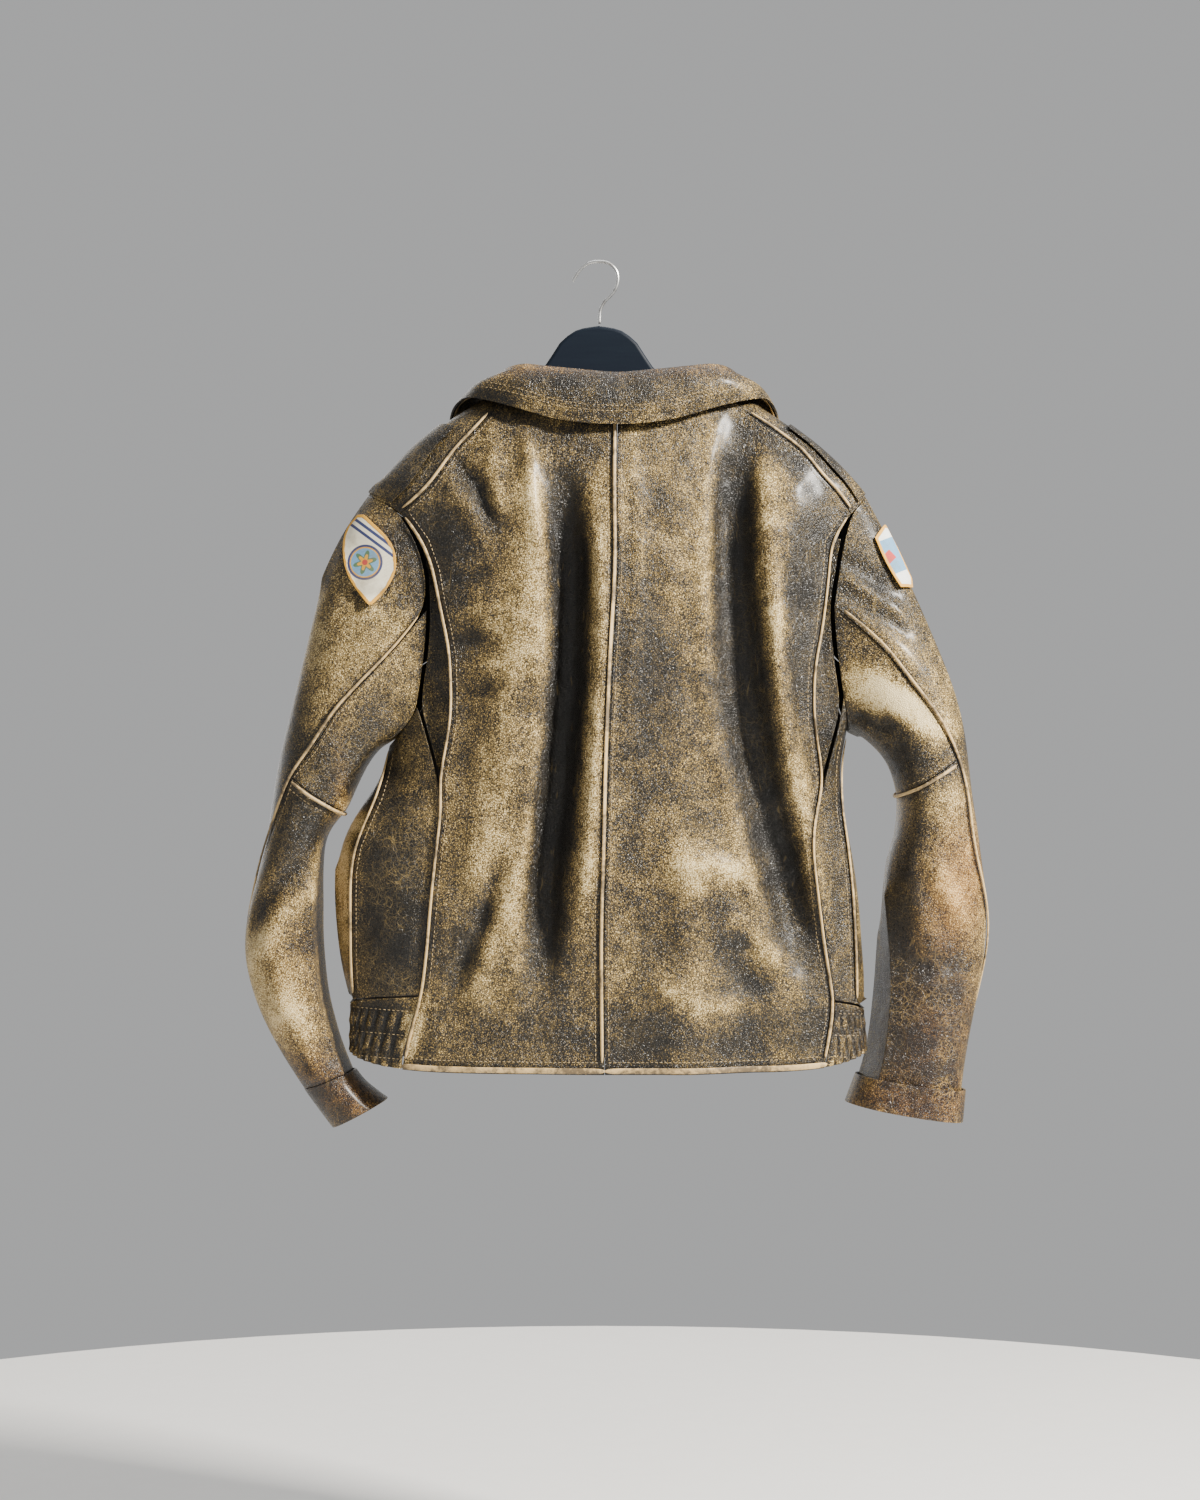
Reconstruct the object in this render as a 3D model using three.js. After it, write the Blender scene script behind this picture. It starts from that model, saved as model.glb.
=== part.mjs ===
// A worn leather jacket on a clothes hanger. Millimetres, +Z up.
// Its back faces -Y, the wearer's left is -X, and the origin is where the hook bears on what it hangs from.
import * as THREE from 'three';

// Driving sizes
const LEATHER = 1.8;          // one layer of leather
const COLLAR_LEATHER = 2.2;   // the collar is two thin layers sewn together
const SEAM = 0.2;             // how far each cut edge stays back from its seam line
const PIPING = { width: 4.6, high: 2.2, lift: 0.6 };           // a round cord sewn into a seam
const SLEEVE_PIPING = { ...PIPING, lift: 1.4 };
const BAND = { width: 8, high: 1.4, lift: 0.8 };               // flat binding along an edge
const PATCH = { lift: 1.6, thick: 1.2 };
const PLEAT = { deep: 8, reach: 4, under: 11, start: 2.2, step: 2 };   // depth, how fast it sinks, how far it runs under
const GATHER = { waves: 12, high: 2.2, steps: 3, drop: 1, sunk: 0.6 };   // elastic waist
const HEM = -781;
const ZIP = { middle: 17, gap: 4, tape: 15, chain: 3, top: -192, bottom: -776 };
const HANGER = { thick: 12, wire: 3.5 };
const ROUND = 0.85;           // how square the torso's section is: 1 is an ellipse, less is squarer

// Curves

// A smooth value along a key that only rises or only falls, from a few [key, value] pairs
function line(pairs) {
  const last = pairs.length - 1;
  const rising = pairs[last][0] > pairs[0][0];
  const secant = (i) => (pairs[i + 1][1] - pairs[i][1]) / (pairs[i + 1][0] - pairs[i][0]);
  const slopes = pairs.map((pair, i) => {
    if (i === 0) return secant(0);
    if (i === last) return secant(last - 1);
    const before = secant(i - 1);
    const after = secant(i);
    return before * after <= 0 ? 0 : 2 * before * after / (before + after);
  });
  return (key) => {
    if (rising ? key <= pairs[0][0] : key >= pairs[0][0]) return pairs[0][1];
    if (rising ? key >= pairs[last][0] : key <= pairs[last][0]) return pairs[last][1];
    let i = 0;
    while (rising ? key > pairs[i + 1][0] : key < pairs[i + 1][0]) i += 1;
    const span = pairs[i + 1][0] - pairs[i][0];
    const t = (key - pairs[i][0]) / span;
    const start = pairs[i][1] * (1 + 2 * t) * (1 - t) ** 2 + slopes[i] * span * t * (1 - t) ** 2;
    return start + pairs[i + 1][1] * t * t * (3 - 2 * t) + slopes[i + 1] * span * t * t * (t - 1);
  };
}

const steps = (from, to, count) => Array.from({ length: count + 1 }, (_, i) => from + (to - from) * i / count);
const join = (...runs) => runs.reduce((all, run) => [...all, ...run.slice(1)]);
const mix = (a, b, t) => a + (b - a) * t;
const smooth = (t) => { const s = Math.min(Math.max(t, 0), 1); return s * s * (3 - 2 * s); };

// The torso's outline and depth, [height, place] from the neck down

const backDepth = line([[-105, 34], [-135, 43], [-180, 52], [-230, 62], [-300, 70], [-400, 74], [-600, 70], [HEM, 64]]);
const frontDepth = line([[-105, 34], [-135, 43], [-185, 52], [-230, 57], [-300, 63], [-400, 67], [-600, 65], [HEM, 60]]);
const centreSeam = line([[-130, 18], [-230, 18], [-281, 19], [-387, 14], [-485, 10], [-565, 8], [-654, 5], [HEM, 6]]);

// Heights of the neck edge, by the turn from a side limit: -PI/2 is the centre back, PI/2 the centre front
const QUARTER = Math.PI / 2;
const neckEdge = line([[-QUARTER, -134], [-1.1, -132], [-0.5, -125], [0, -122], [0.5, -134], [1.1, -168], [QUARTER, -186]]);

// Heights of the hem in the same way: it rides up on the two elastic sides
const hemEdge = line([[-QUARTER, HEM], [-0.9, -780], [-0.6, -777], [-0.3, -770], [0, -763], [0.34, -768],
  [0.8, -775], [QUARTER, -777]]);

// Each side's limit and seams, [height, place across] as seen from behind
const sides = {
  left: {
    sign: -1,
    limit: line([[-105, -70], [-123, -95], [-144, -134], [-179, -183], [-205, -207], [-226, -224], [-246, -211],
      [-288, -194], [-356, -189], [-423, -194], [-468, -203], [-496, -211], [-535, -239], [-569, -254],
      [-603, -256], [-671, -251], [-729, -241], [HEM, -242]]),
    yoke: line([[-125, -80], [-149, -103], [-171, -122], [-191, -142], [-216, -156], [-245, -189]]),
    yokeFront: line([[-140, -85], [-190, -128], [-225, -165], [-262, -190]]),
    backEdge: line([[-245, -186], [-255, -179], [-275, -169], [-294, -161], [-338, -153], [-385, -143], [-440, -142],
      [-484, -150], [-502, -153], [-524, -151], [-574, -157], [-623, -162], [-685, -168], [-706, -171],
      [-742, -181], [-774, -188], [HEM, -188]]),
    arm: line([[-226, -224], [-235, -204], [-246, -190], [-264, -178], [-288, -169], [-313, -165], [-359, -165],
      [-387, -168], [-412, -172], [-431, -174], [-449, -184], [-460, -195], [-468, -203]]),
    gusset: line([[-431, -174], [-447, -169], [-464, -163], [-480, -159], [-495, -155], [-502, -153]]),
    seam: line([[-468, -203], [-482, -205], [-511, -212], [-535, -222], [-569, -236], [-601, -240], [-636, -240],
      [-673, -240], [-712, -237]]),
    tip: -226, corner: -245, frontCorner: -262, gussetTop: -431, pleatEnd: -502, armpit: -468,
    seamEnd: -712, elasticTop: -706,
  },
  right: {
    sign: 1,
    limit: line([[-105, 105], [-122, 132], [-145, 166], [-163, 194], [-190, 228], [-206, 243], [-226, 261],
      [-246, 255], [-288, 249], [-394, 247], [-438, 247], [-455, 241], [-491, 234], [-520, 236], [-550, 244],
      [-580, 250], [-624, 256], [-669, 259], [-705, 262], [-728, 258], [-755, 260], [HEM, 258]]),
    yoke: line([[-125, 118], [-150, 144], [-166, 170], [-182, 193], [-203, 207], [-222, 226], [-245, 243]]),
    yokeFront: line([[-140, 122], [-190, 165], [-225, 205], [-262, 228]]),
    backEdge: line([[-245, 235], [-255, 230], [-272, 224], [-290, 221], [-307, 222], [-326, 219], [-365, 214],
      [-403, 206], [-440, 206], [-464, 210], [-507, 216], [-533, 209], [-564, 206], [-589, 209], [-627, 214],
      [-665, 219], [-703, 225], [-718, 227], [-744, 223], [HEM, 216]]),
    arm: line([[-226, 261], [-237, 251], [-246, 243], [-264, 238], [-288, 233], [-309, 230], [-326, 226], [-350, 226],
      [-375, 229], [-400, 232], [-422, 236], [-433, 238], [-445, 240], [-455, 241]]),
    gusset: line([[-422, 236], [-437, 235], [-456, 230], [-468, 227], [-481, 223], [-496, 219], [-507, 216]]),
    seam: line([[-455, 241], [-480, 237], [-520, 234], [-550, 239], [-580, 243], [-624, 247], [-666, 249], [-717, 250]]),
    tip: -226, corner: -245, frontCorner: -262, gussetTop: -422, pleatEnd: -507, armpit: -455,
    seamEnd: -717, elasticTop: -712,
  },
};

// Long folds, as [height, place across] lines with their height, half-width and where they run out
const fold = (path, high, wide, fade = 60) => ({
  at: line(path), high, wide, top: path[0][0], bottom: path[path.length - 1][0], fade,
});
const folds = {
  back: [
    fold([[-162, 139], [-249, 128], [-326, 122], [-423, 124], [-501, 136], [-569, 156], [-632, 184], [-690, 204]], -13, 27),
    fold([[-150, 190], [-229, 182], [-288, 172], [-346, 168], [-414, 170], [-501, 184], [-560, 196]], 15, 21),
    fold([[-190, -44], [-288, -38], [-375, -30], [-443, -34], [-520, -40], [-598, -50], [-690, -58]], -11, 18),
    fold([[-160, 10], [-288, 8], [-375, 2], [-462, 0], [-540, -2], [-640, -12]], 9, 17),
    fold([[-180, -62], [-288, -70], [-365, -78], [-443, -88], [-540, -102], [-640, -120]], 9, 20),
    fold([[-175, -146], [-215, -120], [-249, -104], [-300, -94]], -6, 9, 40),
    fold([[-560, -88], [-622, -113], [-676, -132], [-715, -148]], -7, 13, 50),
    fold([[-520, 60], [-590, 82], [-650, 96], [-720, 88], [HEM, 84]], 8, 24),
    fold([[-600, 120], [-660, 140], [-720, 150], [HEM, 152]], -7, 20, 50),
  ],
  front: [
    fold([[-200, -90], [-330, -100], [-460, -118], [-600, -126], [-740, -120]], 10, 24),
    fold([[-220, -50], [-360, -56], [-500, -64], [-700, -70]], -8, 18),
    fold([[-200, 120], [-330, 132], [-470, 140], [-600, 150], [-740, 146]], 11, 24),
    fold([[-220, 80], [-360, 88], [-500, 92], [-700, 96]], -8, 18),
  ],
};

// Short creases as seen from behind: centre, half-length along and half-width across, height, and turn in degrees
const crease = (x, z, long, wide, high, turn) => ({
  x, z, long, wide, high, along: [Math.cos(turn * Math.PI / 180), Math.sin(turn * Math.PI / 180)],
});
const creases = [
  crease(118, -590, 60, 14, 7, -22), crease(170, -668, 60, 13, 8, -52), crease(100, -705, 60, 12, 6, -14),
  crease(-122, -420, 26, 7, 4, 12), crease(-118, -370, 26, 7, -4, 8), crease(-128, -462, 24, 7, -3, 16),
  crease(-296, -596, 34, 9, 7, -38), crease(-300, -570, 34, 9, -6, -34), crease(-306, -640, 36, 9, -5, -30),
  crease(-300, -668, 34, 9, 5, -24), crease(-215, -345, 40, 11, 6, -52), crease(-232, -400, 40, 10, -5, -48),
  crease(262, -345, 36, 10, 7, -42), crease(270, -320, 36, 9, -6, -40), crease(330, -520, 34, 9, 6, 24),
  crease(326, -560, 36, 9, -6, 16), crease(322, -610, 36, 9, 5, -12), crease(322, -690, 34, 8, -5, -16),
  crease(-285, -735, 30, 8, 4, -30), crease(318, -735, 34, 8, 4, -10),
];

function foldHeight(list, x, z) {
  return list.reduce((sum, item) => {
    const ends = smooth((item.top - z) / item.fade) * smooth((z - item.bottom) / item.fade + (item.bottom <= HEM ? 1 : 0));
    return sum + item.high * ends * Math.exp(-(((x - item.at(z)) / item.wide) ** 2));
  }, 0);
}

function creaseHeight(x, z) {
  return creases.reduce((sum, item) => {
    const along = (x - item.x) * item.along[0] + (z - item.z) * item.along[1];
    const across = (z - item.z) * item.along[0] - (x - item.x) * item.along[1];
    return sum + item.high * Math.exp(-((along / item.long) ** 2) - (across / item.wide) ** 2);
  }, 0);
}

// The torso's surface, by a side, the turn from that side's limit, and the height
function torso(side, turn, z) {
  const left = sides.left.limit(z);
  const right = sides.right.limit(z);
  const reach = Math.cos(turn);
  const rise = Math.sin(turn);
  const x = (left + right) / 2 + side.sign * (right - left) / 2 * reach;
  const swell = Math.abs(rise) ** ROUND;
  const drape = Math.abs(rise);
  if (rise > 0) return new THREE.Vector3(x, frontDepth(z) * swell + drape * foldHeight(folds.front, x, z), z);
  return new THREE.Vector3(x, -backDepth(z) * swell - drape * (foldHeight(folds.back, x, z) + creaseHeight(x, z)), z);
}

// The turn of a place across at some height, on the back; the front has the same turn with the other sign
function backTurn(side, x, z) {
  const left = sides.left.limit(z);
  const right = sides.right.limit(z);
  const reach = side.sign * (x - (left + right) / 2) / ((right - left) / 2);
  return -Math.acos(Math.min(Math.max(reach, -1), 1));
}

// A surface point with its outward normal, from a function of two numbers and a point inside
function onSurface(surface, u, v, inside, du = 0.01, dv = 1) {
  const point = surface(u, v);
  const across = surface(u + du, v).sub(surface(u - du, v));
  const down = surface(u, v + dv).sub(surface(u, v - dv));
  const normal = across.cross(down).normalize();
  if (normal.dot(point.clone().sub(inside)) < 0) normal.negate();
  return { point, normal };
}

function onTorso(side, [turn, z]) {
  const middle = (sides.left.limit(z) + sides.right.limit(z)) / 2;
  const x = torso(side, turn, z).x;
  const inside = new THREE.Vector3(mix(middle, x, 0.5), 0, z - (z > -230 ? 12 : 0));
  return onSurface((u, v) => torso(side, u, v), turn, z, inside);
}

// Meshes

function meshFrom(name, points, faces, material) {
  const geometry = new THREE.BufferGeometry();
  geometry.setAttribute('position', new THREE.Float32BufferAttribute(points.flatMap((p) => [p.x, p.y, p.z]), 3));
  geometry.setIndex(faces.flat());
  geometry.computeVertexNormals();
  const mesh = new THREE.Mesh(geometry, material);
  mesh.name = name;
  return mesh;
}

const finish = (color, roughness, metalness = 0) => new THREE.MeshStandardMaterial({
  color, roughness, metalness, side: THREE.FrontSide,
});
const finishes = {
  leather: finish(0x38332e, 0.55), worn: finish(0x8a6a42, 0.6), piping: finish(0x9a8157, 0.6),
  patch: finish(0xcfc4a8, 0.8), metal: finish(0x8c8576, 0.4, 0.9), tape: finish(0x24221f, 0.9),
  wood: finish(0x1b2430, 0.4), wire: finish(0xa9aaa8, 0.3, 1),
};

// Pulls the border of a grid in from its seam lines, square to each edge
function pullIn(grid, amount, closed) {
  const rows = grid.length;
  const columns = grid[0].length;
  const moved = grid.map((row) => row.map((cell) => ({ point: cell.point.clone(), normal: cell.normal })));
  const shift = (j, i, inner, before, after) => {
    const edge = after.point.clone().sub(before.point).normalize();
    const inward = inner.point.clone().sub(grid[j][i].point);
    inward.addScaledVector(edge, -inward.dot(edge)).normalize();
    moved[j][i].point.addScaledVector(inward, amount);
  };
  for (let i = 0; i < columns; i += 1) {
    const before = closed ? (i + columns - 1) % columns : Math.max(i - 1, 0);
    const after = closed ? (i + 1) % columns : Math.min(i + 1, columns - 1);
    shift(0, i, grid[1][i], grid[0][before], grid[0][after]);
    shift(rows - 1, i, grid[rows - 2][i], grid[rows - 1][before], grid[rows - 1][after]);
  }
  if (closed) return moved;
  for (let j = 0; j < rows; j += 1) {
    const before = Math.max(j - 1, 0);
    const after = Math.min(j + 1, rows - 1);
    shift(j, 0, grid[j][1], grid[before][0], grid[after][0]);
    shift(j, columns - 1, grid[j][columns - 2], grid[before][columns - 1], grid[after][columns - 1]);
  }
  return moved;
}

// A closed wall: the grid outside, the same grid moved in along its normals, and a rim
function wall(name, cells, material, { thick = LEATHER, lift = 0, seam = SEAM, closed = false } = {}) {
  const grid = pullIn(cells, seam, closed);
  const rows = grid.length;
  const columns = grid[0].length;
  const points = [];
  [lift, lift - thick].forEach((depth) => grid.forEach((row) => row.forEach((cell) => {
    points.push(cell.point.clone().addScaledVector(cell.normal, depth));
  })));
  const at = (layer, j, i) => layer * rows * columns + j * columns + (i % columns);
  const spanI = closed ? columns : columns - 1;
  const middle = grid[Math.floor(rows / 2)][Math.floor(columns / 2)];
  const corner = (j, i) => points[at(0, j, i)];
  const j0 = Math.floor(rows / 2) - 1;
  const i0 = Math.floor(columns / 2) - 1;
  const facing = corner(j0, i0 + 1).clone().sub(corner(j0, i0)).cross(corner(j0 + 1, i0).clone().sub(corner(j0, i0)));
  const turned = facing.dot(middle.normal) < 0;
  const faces = [];
  const quad = (a, b, c, d) => faces.push(...(turned ? [[a, c, b], [a, d, c]] : [[a, b, c], [a, c, d]]));
  for (let j = 0; j < rows - 1; j += 1) {
    for (let i = 0; i < spanI; i += 1) {
      quad(at(0, j, i), at(0, j, i + 1), at(0, j + 1, i + 1), at(0, j + 1, i));
      quad(at(1, j, i), at(1, j + 1, i), at(1, j + 1, i + 1), at(1, j, i + 1));
    }
  }
  for (let i = 0; i < spanI; i += 1) {
    quad(at(0, 0, i), at(1, 0, i), at(1, 0, i + 1), at(0, 0, i + 1));
    quad(at(0, rows - 1, i + 1), at(1, rows - 1, i + 1), at(1, rows - 1, i), at(0, rows - 1, i));
  }
  if (!closed) {
    for (let j = 0; j < rows - 1; j += 1) {
      quad(at(0, j + 1, 0), at(1, j + 1, 0), at(1, j, 0), at(0, j, 0));
      quad(at(0, j, columns - 1), at(1, j, columns - 1), at(1, j + 1, columns - 1), at(0, j + 1, columns - 1));
    }
  }
  return meshFrom(name, points, faces, material);
}

// Places between four edges that share their corners (a Coons patch), filled in on a flat spread.
// A higher fade keeps the shapes of the top and bottom edges closer to those edges.
const asGiven = { flat: (place) => place, round: (place) => place };
function fill(topRun, bottomRun, leftRun, rightRun, spread = asGiven, fade = 1) {
  const [top, bottom, left, right] = [topRun, bottomRun, leftRun, rightRun].map((run) => run.map(spread.flat));
  const n = top.length - 1;
  const m = left.length - 1;
  const inner = left.map((_, j) => top.map((__, i) => [0, 1].map((k) => {
    const u = i / n;
    const v = j / m;
    const bowed = (edge) => edge[i][k] - mix(edge[0][k], edge[n][k], u);
    return mix(left[j][k], right[j][k], u) + (1 - v) ** fade * bowed(top) + v ** fade * bowed(bottom);
  })));
  return inner.map((row, j) => row.map((place, i) => {
    if (j === 0) return topRun[i];
    if (j === m) return bottomRun[i];
    if (i === 0) return leftRun[j];
    return i === n ? rightRun[j] : spread.round(place);
  }));
}

const ringAt = (z) => {
  const [left, right] = [sides.left.limit(z), sides.right.limit(z)];
  return { middle: (left + right) / 2, half: (right - left) / 2 };
};
// The back spread by its place across
const backSpread = (side) => ({
  flat: ([turn, z]) => [ringAt(z).middle + side.sign * ringAt(z).half * Math.cos(turn), z],
  round: ([x, z]) => [backTurn(side, x, z), z],
});
// A front spread by its way round from the middle of the front, so that its columns hang straight
const ROUND_STOP = -1.35;     // just short of the middle of the back
const FRONT_FADE = 5;
const roundTurns = steps(QUARTER, ROUND_STOP, 45);
const frontSpread = (side) => {
  const ways = (z) => {
    let way = 0;
    const points = roundTurns.map((turn) => torso(side, turn, z));
    return roundTurns.map((turn, i) => {
      if (i > 0) way += points[i].distanceTo(points[i - 1]);
      return [turn, way];
    });
  };
  return {
    flat: ([turn, z]) => [line(ways(z))(turn), z],
    round: ([way, z]) => [line(ways(z).map((pair) => [...pair].reverse()))(way), z],
  };
};

const column = (grid, i) => grid.map((row) => row[i < 0 ? row.length + i : i]);
const laid = (side, places) => places.map((row) => row.map((place) => onTorso(side, place)));

// A low ridge along a panel's edge: `rim` is the edge's run of cells and `next` the run beside it
function edging(name, rim, next, { width, high, lift } = PIPING, short = [4, 4]) {
  const last = rim.length - 1;
  const run = rim.map((cell, i) => {
    const across = next[i].point.clone().sub(cell.point);
    return { point: cell.point.clone(), across: across.normalize(), normal: next[i].normal };
  });
  const stop = (end, beside, amount) => {
    const share = amount / run[end].point.distanceTo(run[beside].point);
    run[end].point.lerp(run[beside].point, share);
    run[end].across.lerp(run[beside].across, share).normalize();
  };
  stop(0, 1, short[0]);
  stop(last, last - 1, short[1]);
  const section = [[2 * SEAM, 0], [width, 0], [0.76 * width, 1], [0.24 * width, 1]];
  const points = run.flatMap((cell) => section.map(([sideways, up]) => cell.point.clone()
    .addScaledVector(cell.across, sideways).addScaledVector(cell.normal, lift + up * high)));
  const middle = Math.floor(last / 2) * 4;
  const along = points[middle + 4].clone().sub(points[middle]);
  const turned = along.cross(points[middle + 1].clone().sub(points[middle])).dot(run[middle / 4].normal) > 0;
  const faces = [];
  const quad = (a, b, c, d) => faces.push(...(turned ? [[a, c, b], [a, d, c]] : [[a, b, c], [a, c, d]]));
  quad(0, 1, 2, 3);
  for (let i = 0; i < last; i += 1) {
    for (let k = 0; k < 4; k += 1) {
      const [a, b] = [i * 4 + k, i * 4 + (k + 1) % 4];
      quad(a, a + 4, b + 4, b);
    }
  }
  const end = last * 4;
  quad(end + 3, end + 2, end + 1, end);
  return meshFrom(name, points, faces, finishes.piping);
}

// Torso seams, each sampled once so that both neighbours share its points

const armBack = (side) => join(
  [side.tip, side.tip - 4, side.tip - 11, side.corner],
  steps(side.corner, side.gussetTop, 6),
  steps(side.gussetTop, side.armpit, 3),
);
const armFront = (side) => join(
  [side.tip, side.tip - 6, side.tip - 18, side.frontCorner],
  steps(side.frontCorner, side.armpit, 7),
);
const armTurn = (side, z) => backTurn(side, side.arm(z), z);
// The front of the armhole is cut a little further in
const armFrontTurn = (side, z) => {
  const scoop = 9 * Math.sin(Math.PI * (z - side.tip) / (side.armpit - side.tip));
  return -backTurn(side, side.arm(z) - side.sign * scoop, z);
};
const backPlaces = (side, seam, heights) => heights.map((z) => [backTurn(side, seam(z), z), z]);
const frontPlaces = (side, seam, heights) => heights.map((z) => [-backTurn(side, seam(z), z), z]);

const EDGE = { upper: 9, lower: 7, waist: 3, yoke: 6, neck: 5, side: 10, elastic: 6, corner: 3 };

const neckBackTurn = -0.5;
const neckFrontTurn = 0.7;
const neckPlace = (turn) => [turn, neckEdge(turn)];

function yokeBack(side) {
  const heights = steps(neckEdge(neckBackTurn), side.corner, EDGE.yoke);
  const places = backPlaces(side, side.yoke, heights);
  places[0] = neckPlace(neckBackTurn);
  places[EDGE.yoke] = [armTurn(side, side.corner), side.corner];
  return places;
}

function yokeFront(side) {
  const heights = steps(neckEdge(neckFrontTurn), side.frontCorner, EDGE.yoke);
  const places = frontPlaces(side, side.yokeFront, heights);
  places[0] = neckPlace(neckFrontTurn);
  places[EDGE.yoke] = [armFrontTurn(side, side.frontCorner), side.frontCorner];
  return places;
}

const hemAtBackEdge = (side) => hemEdge(backTurn(side, side.backEdge(HEM), HEM));

function backEdge(side) {
  const heights = join(steps(side.corner, side.pleatEnd, EDGE.upper), steps(side.pleatEnd, side.elasticTop, EDGE.lower),
    steps(side.elasticTop, hemAtBackEdge(side), EDGE.waist));
  const places = backPlaces(side, side.backEdge, heights);
  places[0] = [armTurn(side, side.corner), side.corner];
  return places;
}

function centreBack(side) {
  const count = EDGE.upper + EDGE.lower + EDGE.waist;
  return backPlaces(side, centreSeam, steps(neckEdge(-QUARTER), HEM, count));
}

function sideSeam(side) {
  return backPlaces(side, side.seam, steps(side.armpit, side.seamEnd, EDGE.side));
}

// The elastic ends a little way round the front
const elasticEnd = 0.34;
function elasticFront(side) {
  const start = backTurn(side, side.seam(side.seamEnd), side.seamEnd);
  return join([[start, side.seamEnd], [-0.05, side.seamEnd - 5], [0.14, side.seamEnd - 9], [elasticEnd, side.seamEnd - 14]],
    steps(side.seamEnd - 14, hemEdge(elasticEnd), 2).map((z) => [elasticEnd, z]));
}

const hemRun = (start, end, count) => steps(start[0], end[0], count).map((turn, i) => (
  i === 0 ? start : [turn, i === count ? end[1] : hemEdge(turn)]));

function back(side) {
  const top = join([...yokeBack(side)].reverse(), steps(neckBackTurn, centreBack(side)[0][0], EDGE.neck).map(neckPlace));
  top[top.length - 1] = centreBack(side)[0];
  const left = backEdge(side);
  const right = centreBack(side);
  const start = left[left.length - 1];
  const end = right[right.length - 1];
  const bottom = hemRun(start, end, top.length - 1);
  return laid(side, fill(top, bottom, left, right, backSpread(side)));
}

function sidePanel(side, sleeve) {
  const lower = backPlaces(side, side.backEdge, steps(side.pleatEnd, side.elasticTop, EDGE.lower));
  const upper = backPlaces(side, side.gusset, steps(side.gussetTop, side.pleatEnd, EDGE.side - EDGE.lower));
  const right = join(upper, lower);
  right[0] = [armTurn(side, side.gussetTop), side.gussetTop];
  const left = sideSeam(side);
  const top = steps(side.armpit, side.gussetTop, EDGE.corner).map((z) => [armTurn(side, z), z]);
  left[0] = top[0];
  const start = left[left.length - 1];
  const end = right[right.length - 1];
  const bottom = top.map((_, i) => [0, 1].map((k) => mix(start[k], end[k], i / EDGE.corner)));
  const grid = laid(side, fill(top, bottom, left, right, frontSpread(side), FRONT_FADE));
  grid[0] = mitred(grid[0], top.map((place) => place[1]), sleeve, true);
  return grid;
}

// The armpit's row of a front reaches the zip a little higher than the armpit
const ARMPIT_RISE = 10;
function front(side, sleeve) {
  const armhole = armFront(side).slice(EDGE.corner);
  const edgeX = ZIP.middle + side.sign * ZIP.gap;
  const neckTurn = -backTurn(side, edgeX, -186);
  const neck = steps(neckFrontTurn, neckTurn, EDGE.neck).map(neckPlace);
  const top = join([...yokeFront(side)].reverse(), neck);
  const left = join(armhole.map((z) => [armFrontTurn(side, z), z]), sideSeam(side), elasticFront(side));
  const armpitRow = armhole.length - 1;
  const level = side.armpit + ARMPIT_RISE;
  const right = frontPlaces(side, () => edgeX, join(steps(neck[EDGE.neck][1], level, armpitRow),
    steps(level, hemEdge(QUARTER), left.length - 1 - armpitRow)));
  right[0] = neck[EDGE.neck];
  const bottom = hemRun(left[left.length - 1], right[right.length - 1], top.length - 1);
  const grid = laid(side, fill(top, bottom, left, right, frontSpread(side), FRONT_FADE));
  mitred(column(grid, 0).slice(0, armhole.length), armhole, sleeve, false).forEach((cell, j) => {
    grid[j][0] = cell;
  });
  return grid;
}

function yoke(side, sleeve) {
  const backCorner = [...armBack(side).slice(0, EDGE.corner + 1)].reverse().map((z) => [armTurn(side, z), z]);
  const frontCorner = armFront(side).slice(0, EDGE.corner + 1).map((z) => [armFrontTurn(side, z), z]);
  const bottom = join(backCorner, frontCorner);
  const top = steps(neckBackTurn, neckFrontTurn, bottom.length - 1).map(neckPlace);
  const grid = laid(side, fill(top, bottom, yokeBack(side), yokeFront(side)));
  const heights = bottom.map((place) => place[1]);
  const tip = EDGE.corner;
  grid[grid.length - 1] = [
    ...mitred(grid[grid.length - 1].slice(0, tip + 1), heights.slice(0, tip + 1), sleeve, true),
    ...mitred(grid[grid.length - 1].slice(tip + 1), heights.slice(tip + 1), sleeve, false),
  ];
  return grid;
}

// The gusset sinks away from the armhole and runs on under the free edge of the back
function gusset(side) {
  const heights = steps(side.corner - 24, side.pleatEnd + 12, 12);
  return heights.map((z) => {
    const armSide = z > side.gussetTop ? side.arm(z) : side.gusset(z);
    const open = Math.abs(side.backEdge(z) - armSide);
    const reach = open + PLEAT.under * smooth(open / 10) - PLEAT.start;
    return steps(0, 1, 5).map((u) => {
      const x = armSide - side.sign * (PLEAT.start + reach * u);
      const cell = onTorso(side, [backTurn(side, x, z), z]);
      const sink = PLEAT.step + PLEAT.deep * (1 - Math.exp(-reach * u / PLEAT.reach));
      return { point: cell.point.addScaledVector(cell.normal, -sink), normal: cell.normal };
    });
  });
}

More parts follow.
